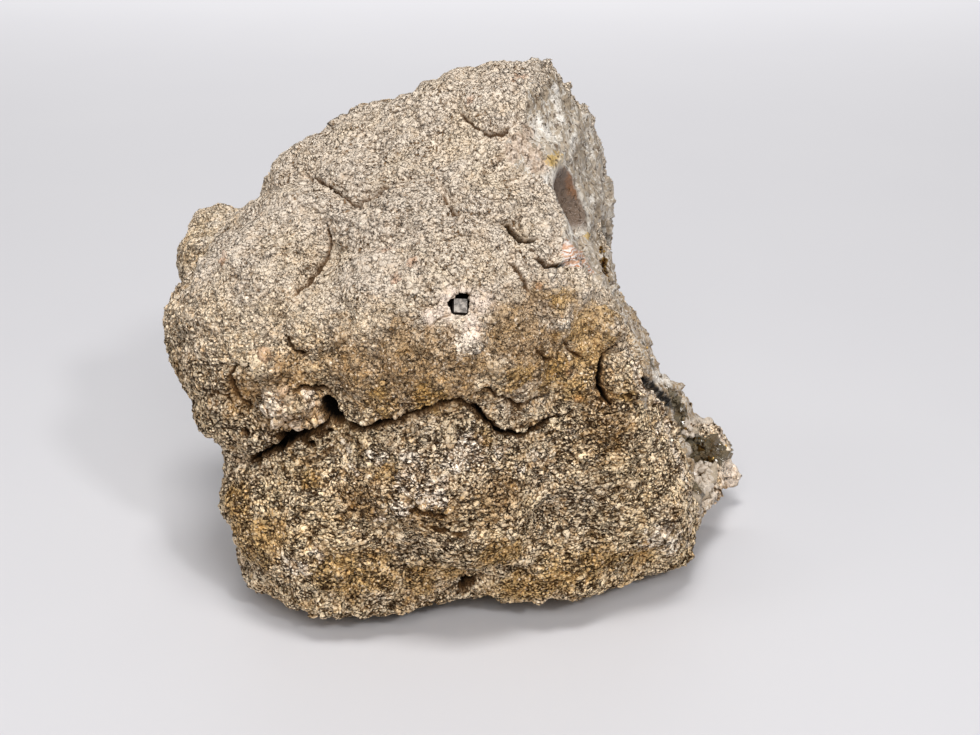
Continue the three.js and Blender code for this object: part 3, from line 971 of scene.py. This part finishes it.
def milky_quartz_material():
    """Cloudy grey-lilac quartz."""
    s = Shader("milky_quartz", Roughness=0.35, Coat_Weight=0.3)
    cloud = s.specks(0.8, 3.0)
    colour = s.mix(cloud, *MILKY_QUARTZ)
    s.bump(s.specks(0.4, 2.0), 0.08)
    return s.paint(colour)


def smoky_block_material():
    """Dull grey quartz."""
    s = Shader("smoky_block", Roughness=0.4, Coat_Weight=0.2)
    cloud = s.specks(1.2, 3.0)
    colour = s.mix(s.step(cloud, 0.4, 0.62), *GREY_QUARTZ)
    s.bump(cloud, 0.3)
    return s.paint(colour)


def pyrite_material():
    """Brassy pyrite, tarnished brown in patches."""
    s = Shader("pyrite", Metallic=1.0)
    patches = s.specks(1.8, 3.0)
    colour = s.mix(s.step(patches, 0.4, 0.6), BRASS, TARNISH)
    s.bump(s.specks(0.3, 2.0, 0.5, (1, 1, 6)), 0.04)
    return s.paint(colour, 0.2 + patches * 0.3)


def floor_material():
    s = Shader("floor", Roughness=0.6)
    s.surface.inputs["Specular IOR Level"].default_value = 0.25
    cloud = s.specks(120, 2.0)
    return s.paint(s.mix(cloud, *FLOOR))


# ---------------------------------------------------------------------------------------------
# The stone.

RIND_SPOTS = {
    "chalky": CHALKY, "ochre": OCHRE, "rusty": RUSTY, "dusky": DUSKY_AND_SHADE, "halo": HALO, "pale": PALE_CRUST,
}  # fmt: skip
BREAK_SPOTS = {"yellow": YELLOW_SPOT, "banded": BANDED_PATCH, "whiter": SOFT_WHITE, "chips": CHIPS}
FORM_SPOTS = {"nodule": NODULE, "granules": GRANULES, "smooth": SMOOTH, "laminar": LAMINAR}
SPOTS = {**RIND_SPOTS, **BREAK_SPOTS, **FORM_SPOTS}


class Stone:
    """The stone's surface, and what is known about any point of it."""

    def __init__(self, node):
        self.points, self.faces = remeshed(node, STONE_GRID)
        flat_base = self.points[:, 2] < 0.6 * STONE_GRID
        self.points = relax(self.points, self.faces, RELAX_ROUNDS)
        self.points[flat_base, 2] = 0.0
        self.tree = BVHTree.FromPolygons(self.points.tolist(), self.faces.tolist())
        self.push_over()
        self.tree = BVHTree.FromPolygons(self.points.tolist(), self.faces.tolist())
        self.cracks = [(path_on(self.tree, path), width, depth) for path, width, depth in CRACKS]
        self.folds = [(path_on(self.tree, path, 4.0, 0.4), *rest) for path, *rest in FOLDS]
        self.bulges = places_on(self.tree, BULGES)
        self.holes = places_on(self.tree, HOLES)
        self.spots = {name: places_on(self.tree, rows) for name, rows in SPOTS.items()}
        self.lip = path_on(self.tree, LIP, 1.2, 0.3)
        self.split_finer()
        self.shape()

    def push_over(self):
        """Moves parts of the surface sideways."""
        move = np.zeros_like(self.points)
        for middle, reach, *way, top in places_on(self.tree, PUSHED):
            distance = np.linalg.norm(self.points - middle, axis=1) / reach
            share = smoothstep(1.2, 0.3, distance) * smoothstep(top, 0.6 * top, self.points[:, 2])
            move += share[:, None] * way
        outward = unit(self.points[:, :2])
        height = self.points[:, 2]
        spread = FOOT_BULGE * smoothstep(FOOT_BULGE_BELOW, UNDERCUT_BELOW, height)
        spread -= (UNDERCUT + FOOT_BULGE) * smoothstep(UNDERCUT_BELOW, 0.3 * UNDERCUT_BELOW, height)
        move[:, :2] += spread[:, None] * outward
        self.points = self.points + move

    def split_finer(self):
        """Halves the edges at the cracks and on the break, where the relief is sharpest."""
        for reach in FINER_REACHES:
            normals = vertex_normals(self.points, self.faces)
            near = np.zeros(len(self.points), dtype=bool)
            for path, width, _ in self.cracks:
                near |= distance_to_path(self.points, path, 8)[0] < reach + width * 0.5
            for middle, radius, _ in self.holes:
                near |= np.linalg.norm(self.points - middle, axis=1) < reach + radius
            if reach == FINER_REACHES[0]:
                near |= kinds_of(self.points, normals) == BROKEN
            for middle, radius in self.spots["nodule"]:
                near |= np.linalg.norm(self.points - middle, axis=1) < radius + 1
            self.points, self.faces = refined(self.points, self.faces, near)

    def shape(self):
        """Adds the relief of the rind and of the break."""
        points = relax(self.points, self.faces, 1)
        points[self.points[:, 2] < FLAT_BASE, 2] = 0.0
        normals = vertex_normals(points, self.faces)
        self.kind = kinds_of(points, normals)
        rind = self.kind == RIND
        broken = self.kind == BROKEN
        fray = ripple(points, 3.5)
        halo, nodule, smooth = (
            stain(points, self.spots[name], fray) for name in ("halo", "nodule", "smooth")
        )
        self.lumpy = np.maximum(nodule, stain(points, self.spots["granules"], fray))
        on_lip = smoothstep(1.2, 0.5, self.from_lip(points) + 0.3 * fray)
        self.smooth = np.maximum.reduce([smooth, 0.85 * halo, on_lip])
        self.crack, self.clear = self.crack_depth(points)
        self.wall = self.from_rind(points)
        height = np.zeros(len(points))
        self.dip = np.zeros(len(points))
        height[rind], self.dip[rind] = self.rind_relief(points[rind], halo[rind], nodule[rind])
        height[broken] = self.break_relief(points[broken])
        height += self.bulge_height(points) * (rind | broken)
        height += LIP_HEIGHT * on_lip * rind
        height -= self.fold_depth(points) * rind
        height -= self.crack * (rind | broken)
        height = np.where(height > 0, height * smoothstep(0.0, 2.5, points[:, 2]), height)
        moved = points + normals * height[:, None]
        on_base = points[:, 2] < FLAT_BASE
        moved[on_base] = points[on_base]
        moved[:, 2] = np.maximum(moved[:, 2], 0)
        self.points = moved
        self.normals = vertex_normals(self.points, self.faces)

    def from_lip(self, points):
        """How far points are from the pale lip, as a share of its reach."""
        return distance_to_path(points, self.lip, 4)[0] / LIP_REACH

    def from_rind(self, points):
        """How far the points of the break are from the rind."""
        rind_points = points[self.kind == RIND]
        tree = KDTree(len(rind_points))
        for i, point in enumerate(rind_points.tolist()):
            tree.insert(point, i)
        tree.balance()
        distance = np.zeros(len(points))
        for i in np.where(self.kind == BROKEN)[0]:
            distance[i] = tree.find(points[i])[2]
        return distance

    def crack_depth(self, points):
        """How deep the cracks and holes are cut, and where they are kept clear of crumbs."""
        depth = np.zeros(len(points))
        clear = np.zeros(len(points), dtype=bool)
        uneven, ragged = 1 + 0.45 * ripple(points, 2.2, 2), ripple(points, 1.1, 3)
        for path, width, deep in self.cracks:
            distance, place = distance_to_path(points, path, 8)
            from_end = smoothstep(0, 0.16, np.minimum(place, 1 - place))
            open_width = width * uneven * (0.2 + 0.8 * from_end)
            profile = smoothstep(1.3, 0.4, distance / open_width)
            depth = np.maximum(depth, deep * profile * (0.4 + 0.6 * open_width / width))
            clear |= distance < open_width + 0.2 + 0.1 * deep
        for middle, radius, deep in self.holes:
            distance = np.linalg.norm(points - middle, axis=1)
            reach = radius * (uneven + 0.25 * ragged)
            depth = np.maximum(depth, deep * smoothstep(1.15, 0.7, distance / reach))
            clear |= distance < reach + 0.1 * deep
        return depth, clear

    def fold_depth(self, points):
        depth = np.zeros(len(points))
        for path, width, deep in self.folds:
            distance = distance_to_path(points, path, 3 * width)[0] / width
            profile = 0.75 * np.exp(-(distance**2)) + 0.25 * np.clip(1 - distance * 2, 0, 1)
            depth = np.maximum(depth, 1.3 * deep * profile)
        return depth

    def fold_line(self, points, fray):
        """From 0 to 1, how near each point is to the bottom of a fold, where shade is painted."""
        line = np.zeros(len(points))
        for path, width, _ in self.folds:
            distance = distance_to_path(points, path, width)[0] / width
            line = np.maximum(line, FOLD_SHADE * smoothstep(0.3, 0.1, distance + fray))
        return line

    def bulge_height(self, points):
        height = np.zeros(len(points))
        for middle, reach, tall in self.bulges:
            distance = np.linalg.norm(points - middle, axis=1) / reach
            height = np.maximum(height, tall * smoothstep(1.1, 0.2, distance))
        return height

    def rind_relief(self, points, halo, nodule):
        """Domes on domes, as on a cauliflower, and level ledges where the rind is laminar. Gives the
        height, and from 0 to 1 how deep in a crease between two domes each point is."""
        laminar = self.laminar(points)
        bent = wandered(points, 9, 3.0)
        lobe, dome, bead = knobs(bent, 13), knobs(bent, 6.2, 2), knobs(points, 3.0, 1)
        height = 0.9 * ripple(points, 24) + 1.7 * (lobe - 0.7)
        height = height + 1.0 * (dome - 0.65) * (1 - 0.4 * laminar)
        height += 0.5 * (bead - 0.6)
        height += LEDGE_DEPTH * laminar * np.sin(self.level(points) * 2 * math.pi / LEDGE)
        big, small = knobs(wandered(points, 4, 1.5), 3.4, 5), knobs(points, 1.5, 6)
        rugged = 2.6 * (big - 0.45) + 1.1 * (small - 0.5) + 1.2 * ripple(points, 5, 15)
        crease = smoothstep(0.45, 0.05, np.minimum(dome + 0.1, bead))
        rugged_crease = smoothstep(0.5, 0.1, np.minimum(big, small))
        crease = np.maximum(crease * (1 - nodule), nodule * rugged_crease)
        return height * (1 - 0.75 * halo) * (1 - nodule) + rugged * nodule, crease * (1 - halo)

    def laminar(self, points):
        return stain(points, self.spots["laminar"], ripple(points, 9, 4))

    def level(self, points):
        """Height, made uneven, for level ledges."""
        return points[:, 2] + 1.6 * ripple(points, 12, 5) + 0.7 * ripple(points, 4, 6)

    def break_relief(self, points):
        chips = 2.6 * turned_planes(points, 6.5) + 1.6 * turned_planes(points, 2.8, 2)
        chips *= 0.35 + 0.65 * smoothstep(10, 40, points[:, 2])
        chips += 0.5 * ripple(points * [1, 1, 0.4], 1.8, 16)
        first, _ = cells(points * [1, 1, 0.6], 1.7, 3)
        pits = -0.6 * smoothstep(0.34, 0.1, first) * smoothstep(-0.1, 0.3, ripple(points, 8, 8))
        return chips + pits + 0.3 * ripple(points, 1.8, 9)

    def rind_marks(self, points):
        """The colour marks of any points of the rind."""
        fray = ripple(points, 3.0, 7)
        found = {name: stain(points, self.spots[name], fray) for name in RIND_SPOTS}
        found["halo"] = np.maximum(found["halo"], 0.4 * stain(points, self.spots["nodule"], fray))
        on_lip = smoothstep(1.3, 0.5, self.from_lip(points) + 0.5 * fray)
        found["pale"] = np.maximum(found["pale"], on_lip)
        low = smoothstep(30, 4, points[:, 2]) * smoothstep(-0.2, 0.5, ripple(points, 16, 4))
        hidden_back = smoothstep(0, 20, points[:, 1])
        chalk_back = smoothstep(0.34, 0.6, ripple(points, 12, 11)) * hidden_back
        stain_back = smoothstep(0.2, 0.55, ripple(points, 19, 12)) * hidden_back
        found["chalky"] = np.maximum(found["chalky"], 0.8 * chalk_back)
        found["ochre"] = np.maximum.reduce([found["ochre"], 0.6 * low, 0.7 * stain_back])
        # Painted shade just over the floor.
        found["foot"] = smoothstep(*FOOT_SHADE, points[:, 2])
        # Painted shade at the bottoms of folds.
        found["creased"] = self.fold_line(points, 0.15 * fray)
        found["warm"] = smoothstep(*WARM_DOWN, points[:, 2] + 9 * ripple(points, 20, 14))
        return found

    def break_marks(self, points):
        fray = ripple(points, 1.6, 9)
        found = {name: stain(points, self.spots[name], fray) for name in BREAK_SPOTS}
        found["yellow"] = stain(points, self.spots["yellow"], 0.3 * fray)
        from_pocket = np.linalg.norm((points - POCKET_MIDDLE) / POCKET_HALF, axis=1)
        above = smoothstep(*POCKET_FLOOR, points[:, 2] + fray)
        found["smoky"] = smoothstep(1.14, 1.04, from_pocket + 0.06 * fray) * above
        found["pocket_lip"] = smoothstep(1.34, 1.14, from_pocket + 0.1 * fray) * above
        glaze_at = POCKET_MIDDLE + POCKET_HALF * GLAZE_PLACE
        from_glaze = np.linalg.norm((points - glaze_at) / POCKET_HALF, axis=1)
        found["glazed"] = smoothstep(0.7, 0.2, from_glaze)
        found["far_druse"] = smoothstep(FAR_PATCH_BEHIND - 1, FAR_PATCH_BEHIND, points[:, 1])
        from_patch = from_pixel(points, FAR_PATCH, FAR_PATCH_HALF)
        found["far_druse"] *= smoothstep(1.3, 1.0, from_patch + 0.1 * fray)
        # Painted shade along the slot between the front rim and the far lobe, on its walls only.
        in_picture = np.stack(pixels_of(points), axis=1)
        slot = np.array(SIDE_SLOT, dtype=float)
        from_slot = distance_to_path(in_picture, slot, 20)[0] / SIDE_SLOT_REACH
        found["slot_shade"] = smoothstep(1.3, 0.7, from_slot + 0.8 * fray)
        for side in (SIDE_SLOT_FROM, SIDE_SLOT_TO):
            found["slot_shade"] *= smoothstep(*side, points[:, 1])
        return found


def make_stone(stone, rind, chalcedony):
    on_rind = stone.kind == RIND
    # Painted shade in the deep cracks.
    crack_shade = smoothstep(0.9, 2.6, stone.crack)
    rind_marks = stone.rind_marks(stone.points)
    # Painted shade: the stone between the grains, in cracks and in the creases between domes is
    # darkened.
    between_grains_shade = (0.35 + 0.32 * rind_marks["warm"]) * (1 - stone.smooth) * on_rind
    marks = {
        **rind_marks,
        **stone.break_marks(stone.points),
        "deep": np.maximum.reduce(
            [0.8 * smoothstep(0.0, 0.8, stone.crack), between_grains_shade, 0.75 * stone.dip]
        ),
        "crack_shade": crack_shade,
        "creased": np.maximum(rind_marks["creased"], smoothstep(0.1, 0.9, stone.crack)),
        "tone": 1 + 0.1 * ripple(stone.points, 2.0, 5),
    }
    is_rind = on_rind[stone.faces].sum(axis=1) >= 2
    piece = make_piece(
        "stone", stone.points, stone.faces, [rind, chalcedony], "rind_and_chalcedony", marks,
        face_material=np.where(is_rind, 0, 1),
    )  # fmt: skip
    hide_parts("geode_stone")


# ---------------------------------------------------------------------------------------------
# The grains of the rind.


def along_axes(local, spots, x_axis, y_axis, z_axis):
    """Each copy's own points, set down at its spot along its own axes."""
    return (
        spots[:, None]
        + local[:, :, :1] * x_axis[:, None]
        + local[:, :, 1:2] * y_axis[:, None]
        + local[:, :, 2:] * z_axis[:, None]
    )


def joined_copies(body, form_faces):
    """The points and triangles of all copies of a form together."""
    count, size = body.shape[:2]
    faces = (np.arange(count)[:, None, None] * size + form_faces[None]).reshape(-1, 3)
    return body.reshape(-1, 3), faces


def scattered(points, faces, chosen, count, rng):
    """Random points on the chosen triangles: where they are, on which triangle, and the weights of
    its corners there."""
    corner = points[faces[chosen]]
    across = np.cross(corner[:, 1] - corner[:, 0], corner[:, 2] - corner[:, 0])
    area = np.linalg.norm(across, axis=1)
    pick = rng.choice(len(area), count, p=area / area.sum())
    a, b = rng.random((2, count))
    over = a + b > 1
    a[over], b[over] = 1 - a[over], 1 - b[over]
    weights = np.stack([1 - a - b, a, b], axis=1)
    spots = (corner[pick] * weights[:, :, None]).sum(axis=1)
    return spots, pick, weights


def spaced(spots, radii, room):
    """The indices of the spots that are kept, taken in order, so that no two are nearer to each
    other than the sum of their radii times room."""
    tree = KDTree(len(spots))
    for i, spot in enumerate(spots.tolist()):
        tree.insert(spot, i)
    tree.balance()
    radii = (room * radii).tolist()
    dropped = bytearray(len(spots))
    kept = []
    for i, spot in enumerate(spots.tolist()):
        if dropped[i]:
            continue
        kept.append(i)
        for _, j, distance in tree.find_range(spot, 2 * radii[i]):
            if distance < radii[i] + radii[j]:
                dropped[j] = 1
    return np.array(kept)


def grain_form(rings, darkness):
    """A rounded grain: a top, rings of points and a foot. Gives its points, triangles and the darkness
    of its painted shade.
    """
    sides = FORM_SIDES
    points = [(0.0, 0.0, 1.0)]
    for row, (height, radius) in enumerate(rings):
        for i in range(sides):
            angle = 2 * math.pi * (i + row / 2) / sides
            points.append((radius * math.cos(angle), radius * math.sin(angle), height))
    foot = len(points)
    points.append((0.0, 0.0, FORM_FOOT))
    faces = []
    for i in range(sides):
        j = (i + 1) % sides
        faces.append((0, 1 + i, 1 + j))
        for row in range(len(rings) - 1):
            a, b = 1 + sides * row, 1 + sides * (row + 1)
            faces += [(a + i, b + i, a + j), (a + j, b + i, b + j)]
        faces.append((foot, foot - sides + j, foot - sides + i))
    shade = np.repeat(darkness, [1] + [sides] * len(rings) + [1])
    return np.array(points), np.array(faces), shade


class Grains:
    """The grains that a part of the stone's surface is made of: where, which way and how big."""

    def __init__(self, stone, crumbly, candidates, sizes, thick, rng):
        chosen = (crumbly & (stone.points[:, 2] > GRAIN_LOWEST))[stone.faces].all(axis=1)
        spots, pick, weights = scattered(stone.points, stone.faces, chosen, candidates, rng)
        corners = stone.faces[chosen][pick]

        def carried(values):
            held = values[corners]
            return (held * (weights if held.ndim == 2 else weights[:, :, None])).sum(axis=1)

        normals = carried(stone.normals)
        hidden = smoothstep(0.1, -0.5, normals @ BACKWARD)
        shares, radii = zip(*sizes)
        radius = rng.choice(radii, len(spots), p=shares)
        radius = radius * (1 + 0.14 * rng.standard_normal(len(spots)).clip(-2, 2))
        radius *= 1 + 0.16 * ripple(spots, 12, 3) + HIDDEN_SIDE_COARSER * hidden
        smooth = carried(stone.smooth)
        keep = (carried(stone.clear.astype(float)) < 0.5) & (rng.random(len(spots)) > 0.93 * smooth)
        order = np.where(keep)[0]
        order = order[np.argsort(-radius[order], kind="stable")]
        kept = order[spaced(spots[order], radius[order], GRAIN_ROOM)]
        self.spots, self.radius, self.dip = spots[kept], radius[kept], carried(stone.dip)[kept]
        self.marks = stone.rind_marks(self.spots)
        self.low = self.marks["warm"]
        self.turn_and_size(normals[kept], smooth[kept], stone.laminar(self.spots), thick, rng)
        spread = 0.05 + 0.06 * self.low
        self.marks["tone"] = 1 + spread * rng.standard_normal(len(kept)).clip(-2, 2)

    def turn_and_size(self, normals, smooth, laminar, thick, rng):
        """The three axes and sizes of each grain. Where the rind is laminar, grains lie level."""
        count = len(normals)
        normals = unit(normals + (0.15 + 0.07 * self.low)[:, None] * rng.standard_normal((count, 3)))
        level = np.cross([0.0, 0.0, 1.0], normals)
        level /= np.linalg.norm(level, axis=1, keepdims=True) + 1e-9
        slope = np.cross(normals, level)
        turn = (rng.random(count) - 0.5) * 2 * math.pi * (1 - 0.8 * laminar)
        side = np.cos(turn)[:, None] * level + np.sin(turn)[:, None] * slope
        self.axes = (side, np.cross(normals, side), normals)
        long = self.radius * (1.15 + 0.3 * rng.random(count) + 0.3 * laminar)
        broad = self.radius * (1.15 - 0.1 * laminar)
        tall = self.radius * thick * (0.7 + 0.6 * rng.random(count)) * (1 - 0.4 * smooth)
        self.size = np.stack([long, broad, tall * (0.45 + 0.4 * self.low)], axis=1)

    def make(self, name, material, rng):
        """Joins the knobs, and the crumbs, into pieces from the bottom up."""
        forms = {"knobs": (self.radius > BIG_GRAIN, KNOB), "crumbs": (self.radius <= BIG_GRAIN, CRUMB)}
        for kind, (members, (rings, darkness)) in forms.items():
            rows = np.where(members)[0]
            if len(rows) == 0:
                continue
            rows = rows[np.argsort(self.spots[rows, 2], kind="stable")]
            form, form_faces, shade = grain_form(rings, darkness)
            parts = math.ceil(len(rows) * len(form_faces) / PIECE_TRIANGLES)
            for number, part in enumerate(np.array_split(rows, parts)):
                rough = 1 + 0.26 * rng.standard_normal((len(part), len(form), 3)).clip(-1.6, 1.6)
                axes = [axis[part] for axis in self.axes]
                body = along_axes(form[None] * rough * self.size[part, None], self.spots[part], *axes)
                body[:, :, 2] = np.maximum(body[:, :, 2], OVER_FLOOR)
                marks = {mark: np.repeat(values[part], len(form)) for mark, values in self.marks.items()}
                calmer = 0.4 + 0.6 * self.low[part, None]
                # Painted shade, darker toward each grain's foot and in the creases between domes.
                marks["deep"] = (shade * calmer + 0.36 * self.dip[part, None]).ravel()
                make_piece(
                    f"{name}_{kind}_{number + 1}", *joined_copies(body, form_faces), [material],
                    "rind_and_chalcedony", marks,
                )  # fmt: skip


# ---------------------------------------------------------------------------------------------
# The druse.


def make_crust(stone, material):
    """The ground of the druse: a layer along the hollow's wall. Returns its inner surface."""
    chosen = (stone.kind == HOLLOW)[stone.faces].all(axis=1)
    used, faces = np.unique(stone.faces[chosen], return_inverse=True)
    faces = faces.reshape(-1, 3)
    wall, inward = stone.points[used], stone.normals[used]
    edges = edges_of(faces)
    for _ in range(INWARD_ROUNDS):
        inward = neighbour_mean(inward, edges)
    inward = unit(inward)
    depth = CRUST_DEPTH[0] + (CRUST_DEPTH[1] - CRUST_DEPTH[0]) * knobs(wall, 6.0, 4)
    back = wall + CRUST_GAP * inward
    front = wall + (CRUST_GAP + depth)[:, None] * inward
    sides = np.concatenate([faces[:, [0, 1]], faces[:, [1, 2]], faces[:, [2, 0]]])
    paired = set(map(tuple, sides.tolist()))
    rim = np.array([(a, b) for a, b in sides.tolist() if (b, a) not in paired])
    n = len(used)
    a, b = rim[:, 0], rim[:, 1]
    strip = np.concatenate(
        [np.stack([b, a, a + n], axis=1), np.stack([b, a + n, b + n], axis=1)]
    )
    closed = np.concatenate([faces[:, ::-1], faces + n, strip[:, ::-1]])
    pale = stain(front, stone.spots["pale"], ripple(front, 3, 7))
    pale = np.maximum(pale, smoothstep(1.3, 0.8, from_pixel(front, PALE_RIM, PALE_RIM_HALF)))
    piece = make_piece(
        "druse_ground", np.concatenate([back, front]), closed, [material], "crystal_crust",
        {"pale": np.tile(pale, 2)},
    )  # fmt: skip
    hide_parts("crystal_crust")
    return front, faces


def turned_to(directions, rng):
    """For each direction, two more that make a square set with it, turned by chance."""
    aside = unit(np.cross(directions, rng.standard_normal((len(directions), 3))))
    return aside, np.cross(directions, aside)


def placed_copies(form, spots, size, directions, rng):
    """The form's points for each spot, its Z along the direction and scaled by size along X, Y and Z."""
    return along_axes(form[None] * size[:, None], spots, *turned_to(directions, rng), directions)


def quartz_form():
    """A six-sided prism with a six-sided point, one unit wide and one unit tall."""
    ring = [(math.cos(math.pi * i / 3), math.sin(math.pi * i / 3)) for i in range(6)]
    root, shoulder, tip = -0.3, 0.55, (0.08, 0.05, 1.0)
    points = [(x, y, root) for x, y in ring] + [(x, y, shoulder) for x, y in ring] + [tip]
    points.append((0.0, 0.0, root))
    faces = []
    for i in range(6):
        j = (i + 1) % 6
        faces += [(i, j, 6 + j), (i, 6 + j, 6 + i), (6 + i, 6 + j, 12), (13, j, i)]
    return np.array(points), np.array(faces)


def cube_form():
    points = [(x, y, z) for z in (-0.5, 0.5) for y in (-0.5, 0.5) for x in (-0.5, 0.5)]
    quads = [(0, 2, 3, 1), (4, 5, 7, 6), (0, 1, 5, 4), (2, 6, 7, 3), (0, 4, 6, 2), (1, 3, 7, 5)]
    faces = [t for a, b, c, d in quads for t in ((a, b, c), (a, c, d))]
    return np.array(points, dtype=float), np.array(faces)


def make_crystals(name, stone, ground, amount, in_hollow, materials, rng):
    """Quartz and pyrite standing on a ground, which is a surface's points and triangles."""
    points, faces = ground
    candidates, wide = amount
    normals = vertex_normals(points, faces)
    every = np.ones(len(faces), dtype=bool)
    spots, pick, weights = scattered(points, faces, every, candidates, rng)
    directions = (normals[faces[pick]] * weights[:, :, None]).sum(axis=1)
    directions = unit(directions + 0.35 * rng.standard_normal(directions.shape))
    milky = in_hollow & (stain(spots, stone.spots["pale"], ripple(spots, 3, 7)) > MILKY_FROM)
    broad = (rng.random(len(spots)) < BROAD_SHARE) & ~milky
    width = np.where(broad, BROADER * wide, wide) * (0.7 + 0.6 * rng.random(len(spots)))
    length = width * (1.7 + 1.3 * rng.random(len(spots)))
    order = np.argsort(-width, kind="stable")
    spots, directions, milky = spots[order], directions[order], milky[order]
    width, length = width[order], length[order]
    tips = spots + directions * length[:, None]
    inside = past_break(tips)[0] < -SHORT_OF_BREAK if in_hollow else np.ones(len(spots), dtype=bool)
    kept = np.where(inside)[0][spaced(spots[inside], width[inside], CRYSTAL_ROOM)]
    is_pyrite = rng.random(len(kept)) < PYRITE_SHARE
    is_milky = ~is_pyrite & milky[kept]
    kinds = {
        "quartz": (quartz_form(), kept[~is_pyrite & ~is_milky]),
        "milky_quartz": (quartz_form(), kept[is_milky]),
        "pyrite": (cube_form(), kept[is_pyrite]),
    }
    for kind, ((form, form_faces), members) in kinds.items():
        if len(members) == 0:
            continue
        size = np.stack([width[members], width[members], length[members]], axis=1)
        if kind == "pyrite":
            size = np.repeat(width[members, None] * PYRITE_WIDER, 3, axis=1)
            size *= 1 + 0.12 * rng.standard_normal(size.shape).clip(-2, 2)
            directions[members] = unit(rng.standard_normal((len(members), 3)))
        body = placed_copies(form, spots[members], size, directions[members], rng)
        make_piece(
            f"{name}_{kind}", *joined_copies(body, form_faces), [materials[kind]], "crystal_crust",
            smooth=False,
        )  # fmt: skip


def patch_of(stone, chosen):
    """The part of the stone's surface whose points are chosen."""
    used, faces = np.unique(stone.faces[chosen[stone.faces].all(axis=1)], return_inverse=True)
    return stone.points[used], faces.reshape(-1, 3)


def make_slot_crystals(stone, material, rng):
    """Golden crystals along the slot in the break."""
    skin = BVHTree.FromPolygons(stone.points.tolist(), stone.faces.tolist())
    path = path_on(stone.tree, SLOT, 0.7, 0.3)
    strays = np.repeat(path, SLOT_CRYSTALS_EACH, axis=0)
    strays = strays + 0.75 * rng.standard_normal(strays.shape).clip(-1.5, 1.5)
    found = [skin.find_nearest(Vector(p)) for p in strays.tolist()]
    spots = np.array([hit[0] for hit in found])
    directions = unit(np.array([hit[1] for hit in found]) + 0.5 * rng.standard_normal(spots.shape))
    size = SLOT_CRYSTAL * (0.6 + 0.8 * rng.random((len(spots), 1))) * np.ones((1, 3))
    form, form_faces = cube_form()
    body = placed_copies(form, spots, size, directions, rng)
    make_piece(
        "slot_pyrite", *joined_copies(body, form_faces), [material], "crystal_crust", smooth=False
    )  # fmt: skip


def make_vug_crystal(stone, material):
    """The block of quartz that nearly fills the small vug in the belly."""
    mouth = on_surface(stone.tree, VUG)
    inward = np.array(VUG_INWARD)
    points, faces = cube_form()
    middle = mouth + inward * (0.5 * VUG_BLOCK[2] + VUG_BELOW)
    aside = RIGHT - (RIGHT @ inward) * inward
    aside /= np.linalg.norm(aside)
    body = middle + (points * VUG_BLOCK) @ np.stack([aside, np.cross(aside, inward), inward])
    make_piece("vug_crystal", body, faces, [material], "crystal_crust", smooth=False)


# ---------------------------------------------------------------------------------------------
# The floor, the lights and the camera.


def make_floor():
    angles = np.arange(FLOOR_SIDES) * 2 * math.pi / FLOOR_SIDES
    ring = [(FLOOR_RADIUS * math.cos(a), FLOOR_RADIUS * math.sin(a), 0.0) for a in angles]
    mesh = bpy.data.meshes.new("floor")
    mesh.from_pydata(ring, [], [list(range(FLOOR_SIDES))])
    mesh.materials.append(floor_material())
    floor = bpy.data.objects.new("floor", mesh)
    bpy.context.scene.collection.objects.link(floor)


def add_softbox(name, at, size, power, colour, aim):
    light = bpy.data.lights.new(name, "AREA")
    light.shape = "RECTANGLE"
    light.size, light.size_y = size
    light.energy = power
    light.color = colour
    box = bpy.data.objects.new(name, light)
    bpy.context.scene.collection.objects.link(box)
    box.location = at
    box.rotation_euler = (Vector(aim) - Vector(at)).to_track_quat("-Z", "Y").to_euler()


def add_world():
    world = bpy.data.worlds.new("studio")
    world.use_nodes = True
    background = world.node_tree.nodes["Background"]
    background.inputs["Color"].default_value = SKY
    background.inputs["Strength"].default_value = SKY_STRENGTH
    bpy.context.scene.world = world


def add_camera():
    camera_data = bpy.data.cameras.new("camera")
    camera_data.sensor_width = SENSOR
    camera_data.lens = SENSOR * FOCAL_PIXELS / PICTURE_SIZE[0]
    camera_data.clip_start, camera_data.clip_end = CAMERA_SEES
    camera = bpy.data.objects.new("camera", camera_data)
    bpy.context.scene.collection.objects.link(camera)
    camera.location = Vector(CAMERA_AT * MM)
    camera.rotation_euler = Vector(-BACKWARD).to_track_quat("-Z", "Y").to_euler()
    bpy.context.scene.camera = camera


def build():
    rng = np.random.default_rng(SEED)
    rind, chalcedony = rind_material(), chalcedony_material()
    quartz, pyrite = quartz_material(), pyrite_material()
    stone = Stone(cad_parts["geode_stone"])
    make_stone(stone, rind, chalcedony)
    lumpy = stone.lumpy > LUMPY_FROM
    edge = (stone.kind == BROKEN) & (stone.wall < EDGE_CRUST)
    edge &= (stone.points[:, 1] > EDGE_BEHIND) & (stone.points[:, 2] > EDGE_ABOVE)
    grainy = {
        "rind": ((stone.kind == RIND) & ~lumpy, RIND_GRAINS),
        "lumpy": ((stone.kind == RIND) & lumpy, LUMPY_GRAINS),
        "edge": (edge, EDGE_GRAINS),
    }
    for name, (where, grains) in grainy.items():
        Grains(stone, where, *grains, rng).make(name, rind, rng)
    materials = {"quartz": quartz, "milky_quartz": milky_quartz_material(), "pyrite": pyrite}
    crust = make_crust(stone, druse_material())
    make_crystals("hollow", stone, crust, HOLLOW_CRYSTALS, True, materials, rng)
    far_patch = (stone.kind == BROKEN) & (stone.break_marks(stone.points)["far_druse"] > 0.5)
    make_crystals("far", stone, patch_of(stone, far_patch), FAR_CRYSTALS, False, materials, rng)
    make_slot_crystals(stone, pyrite, rng)
    make_vug_crystal(stone, smoky_block_material())


build()
make_floor()
add_world()
for light_name, light_setup in SOFT_LIGHTS.items():
    add_softbox(light_name, *light_setup)
add_camera()
bpy.context.scene.view_settings.view_transform = "Standard"
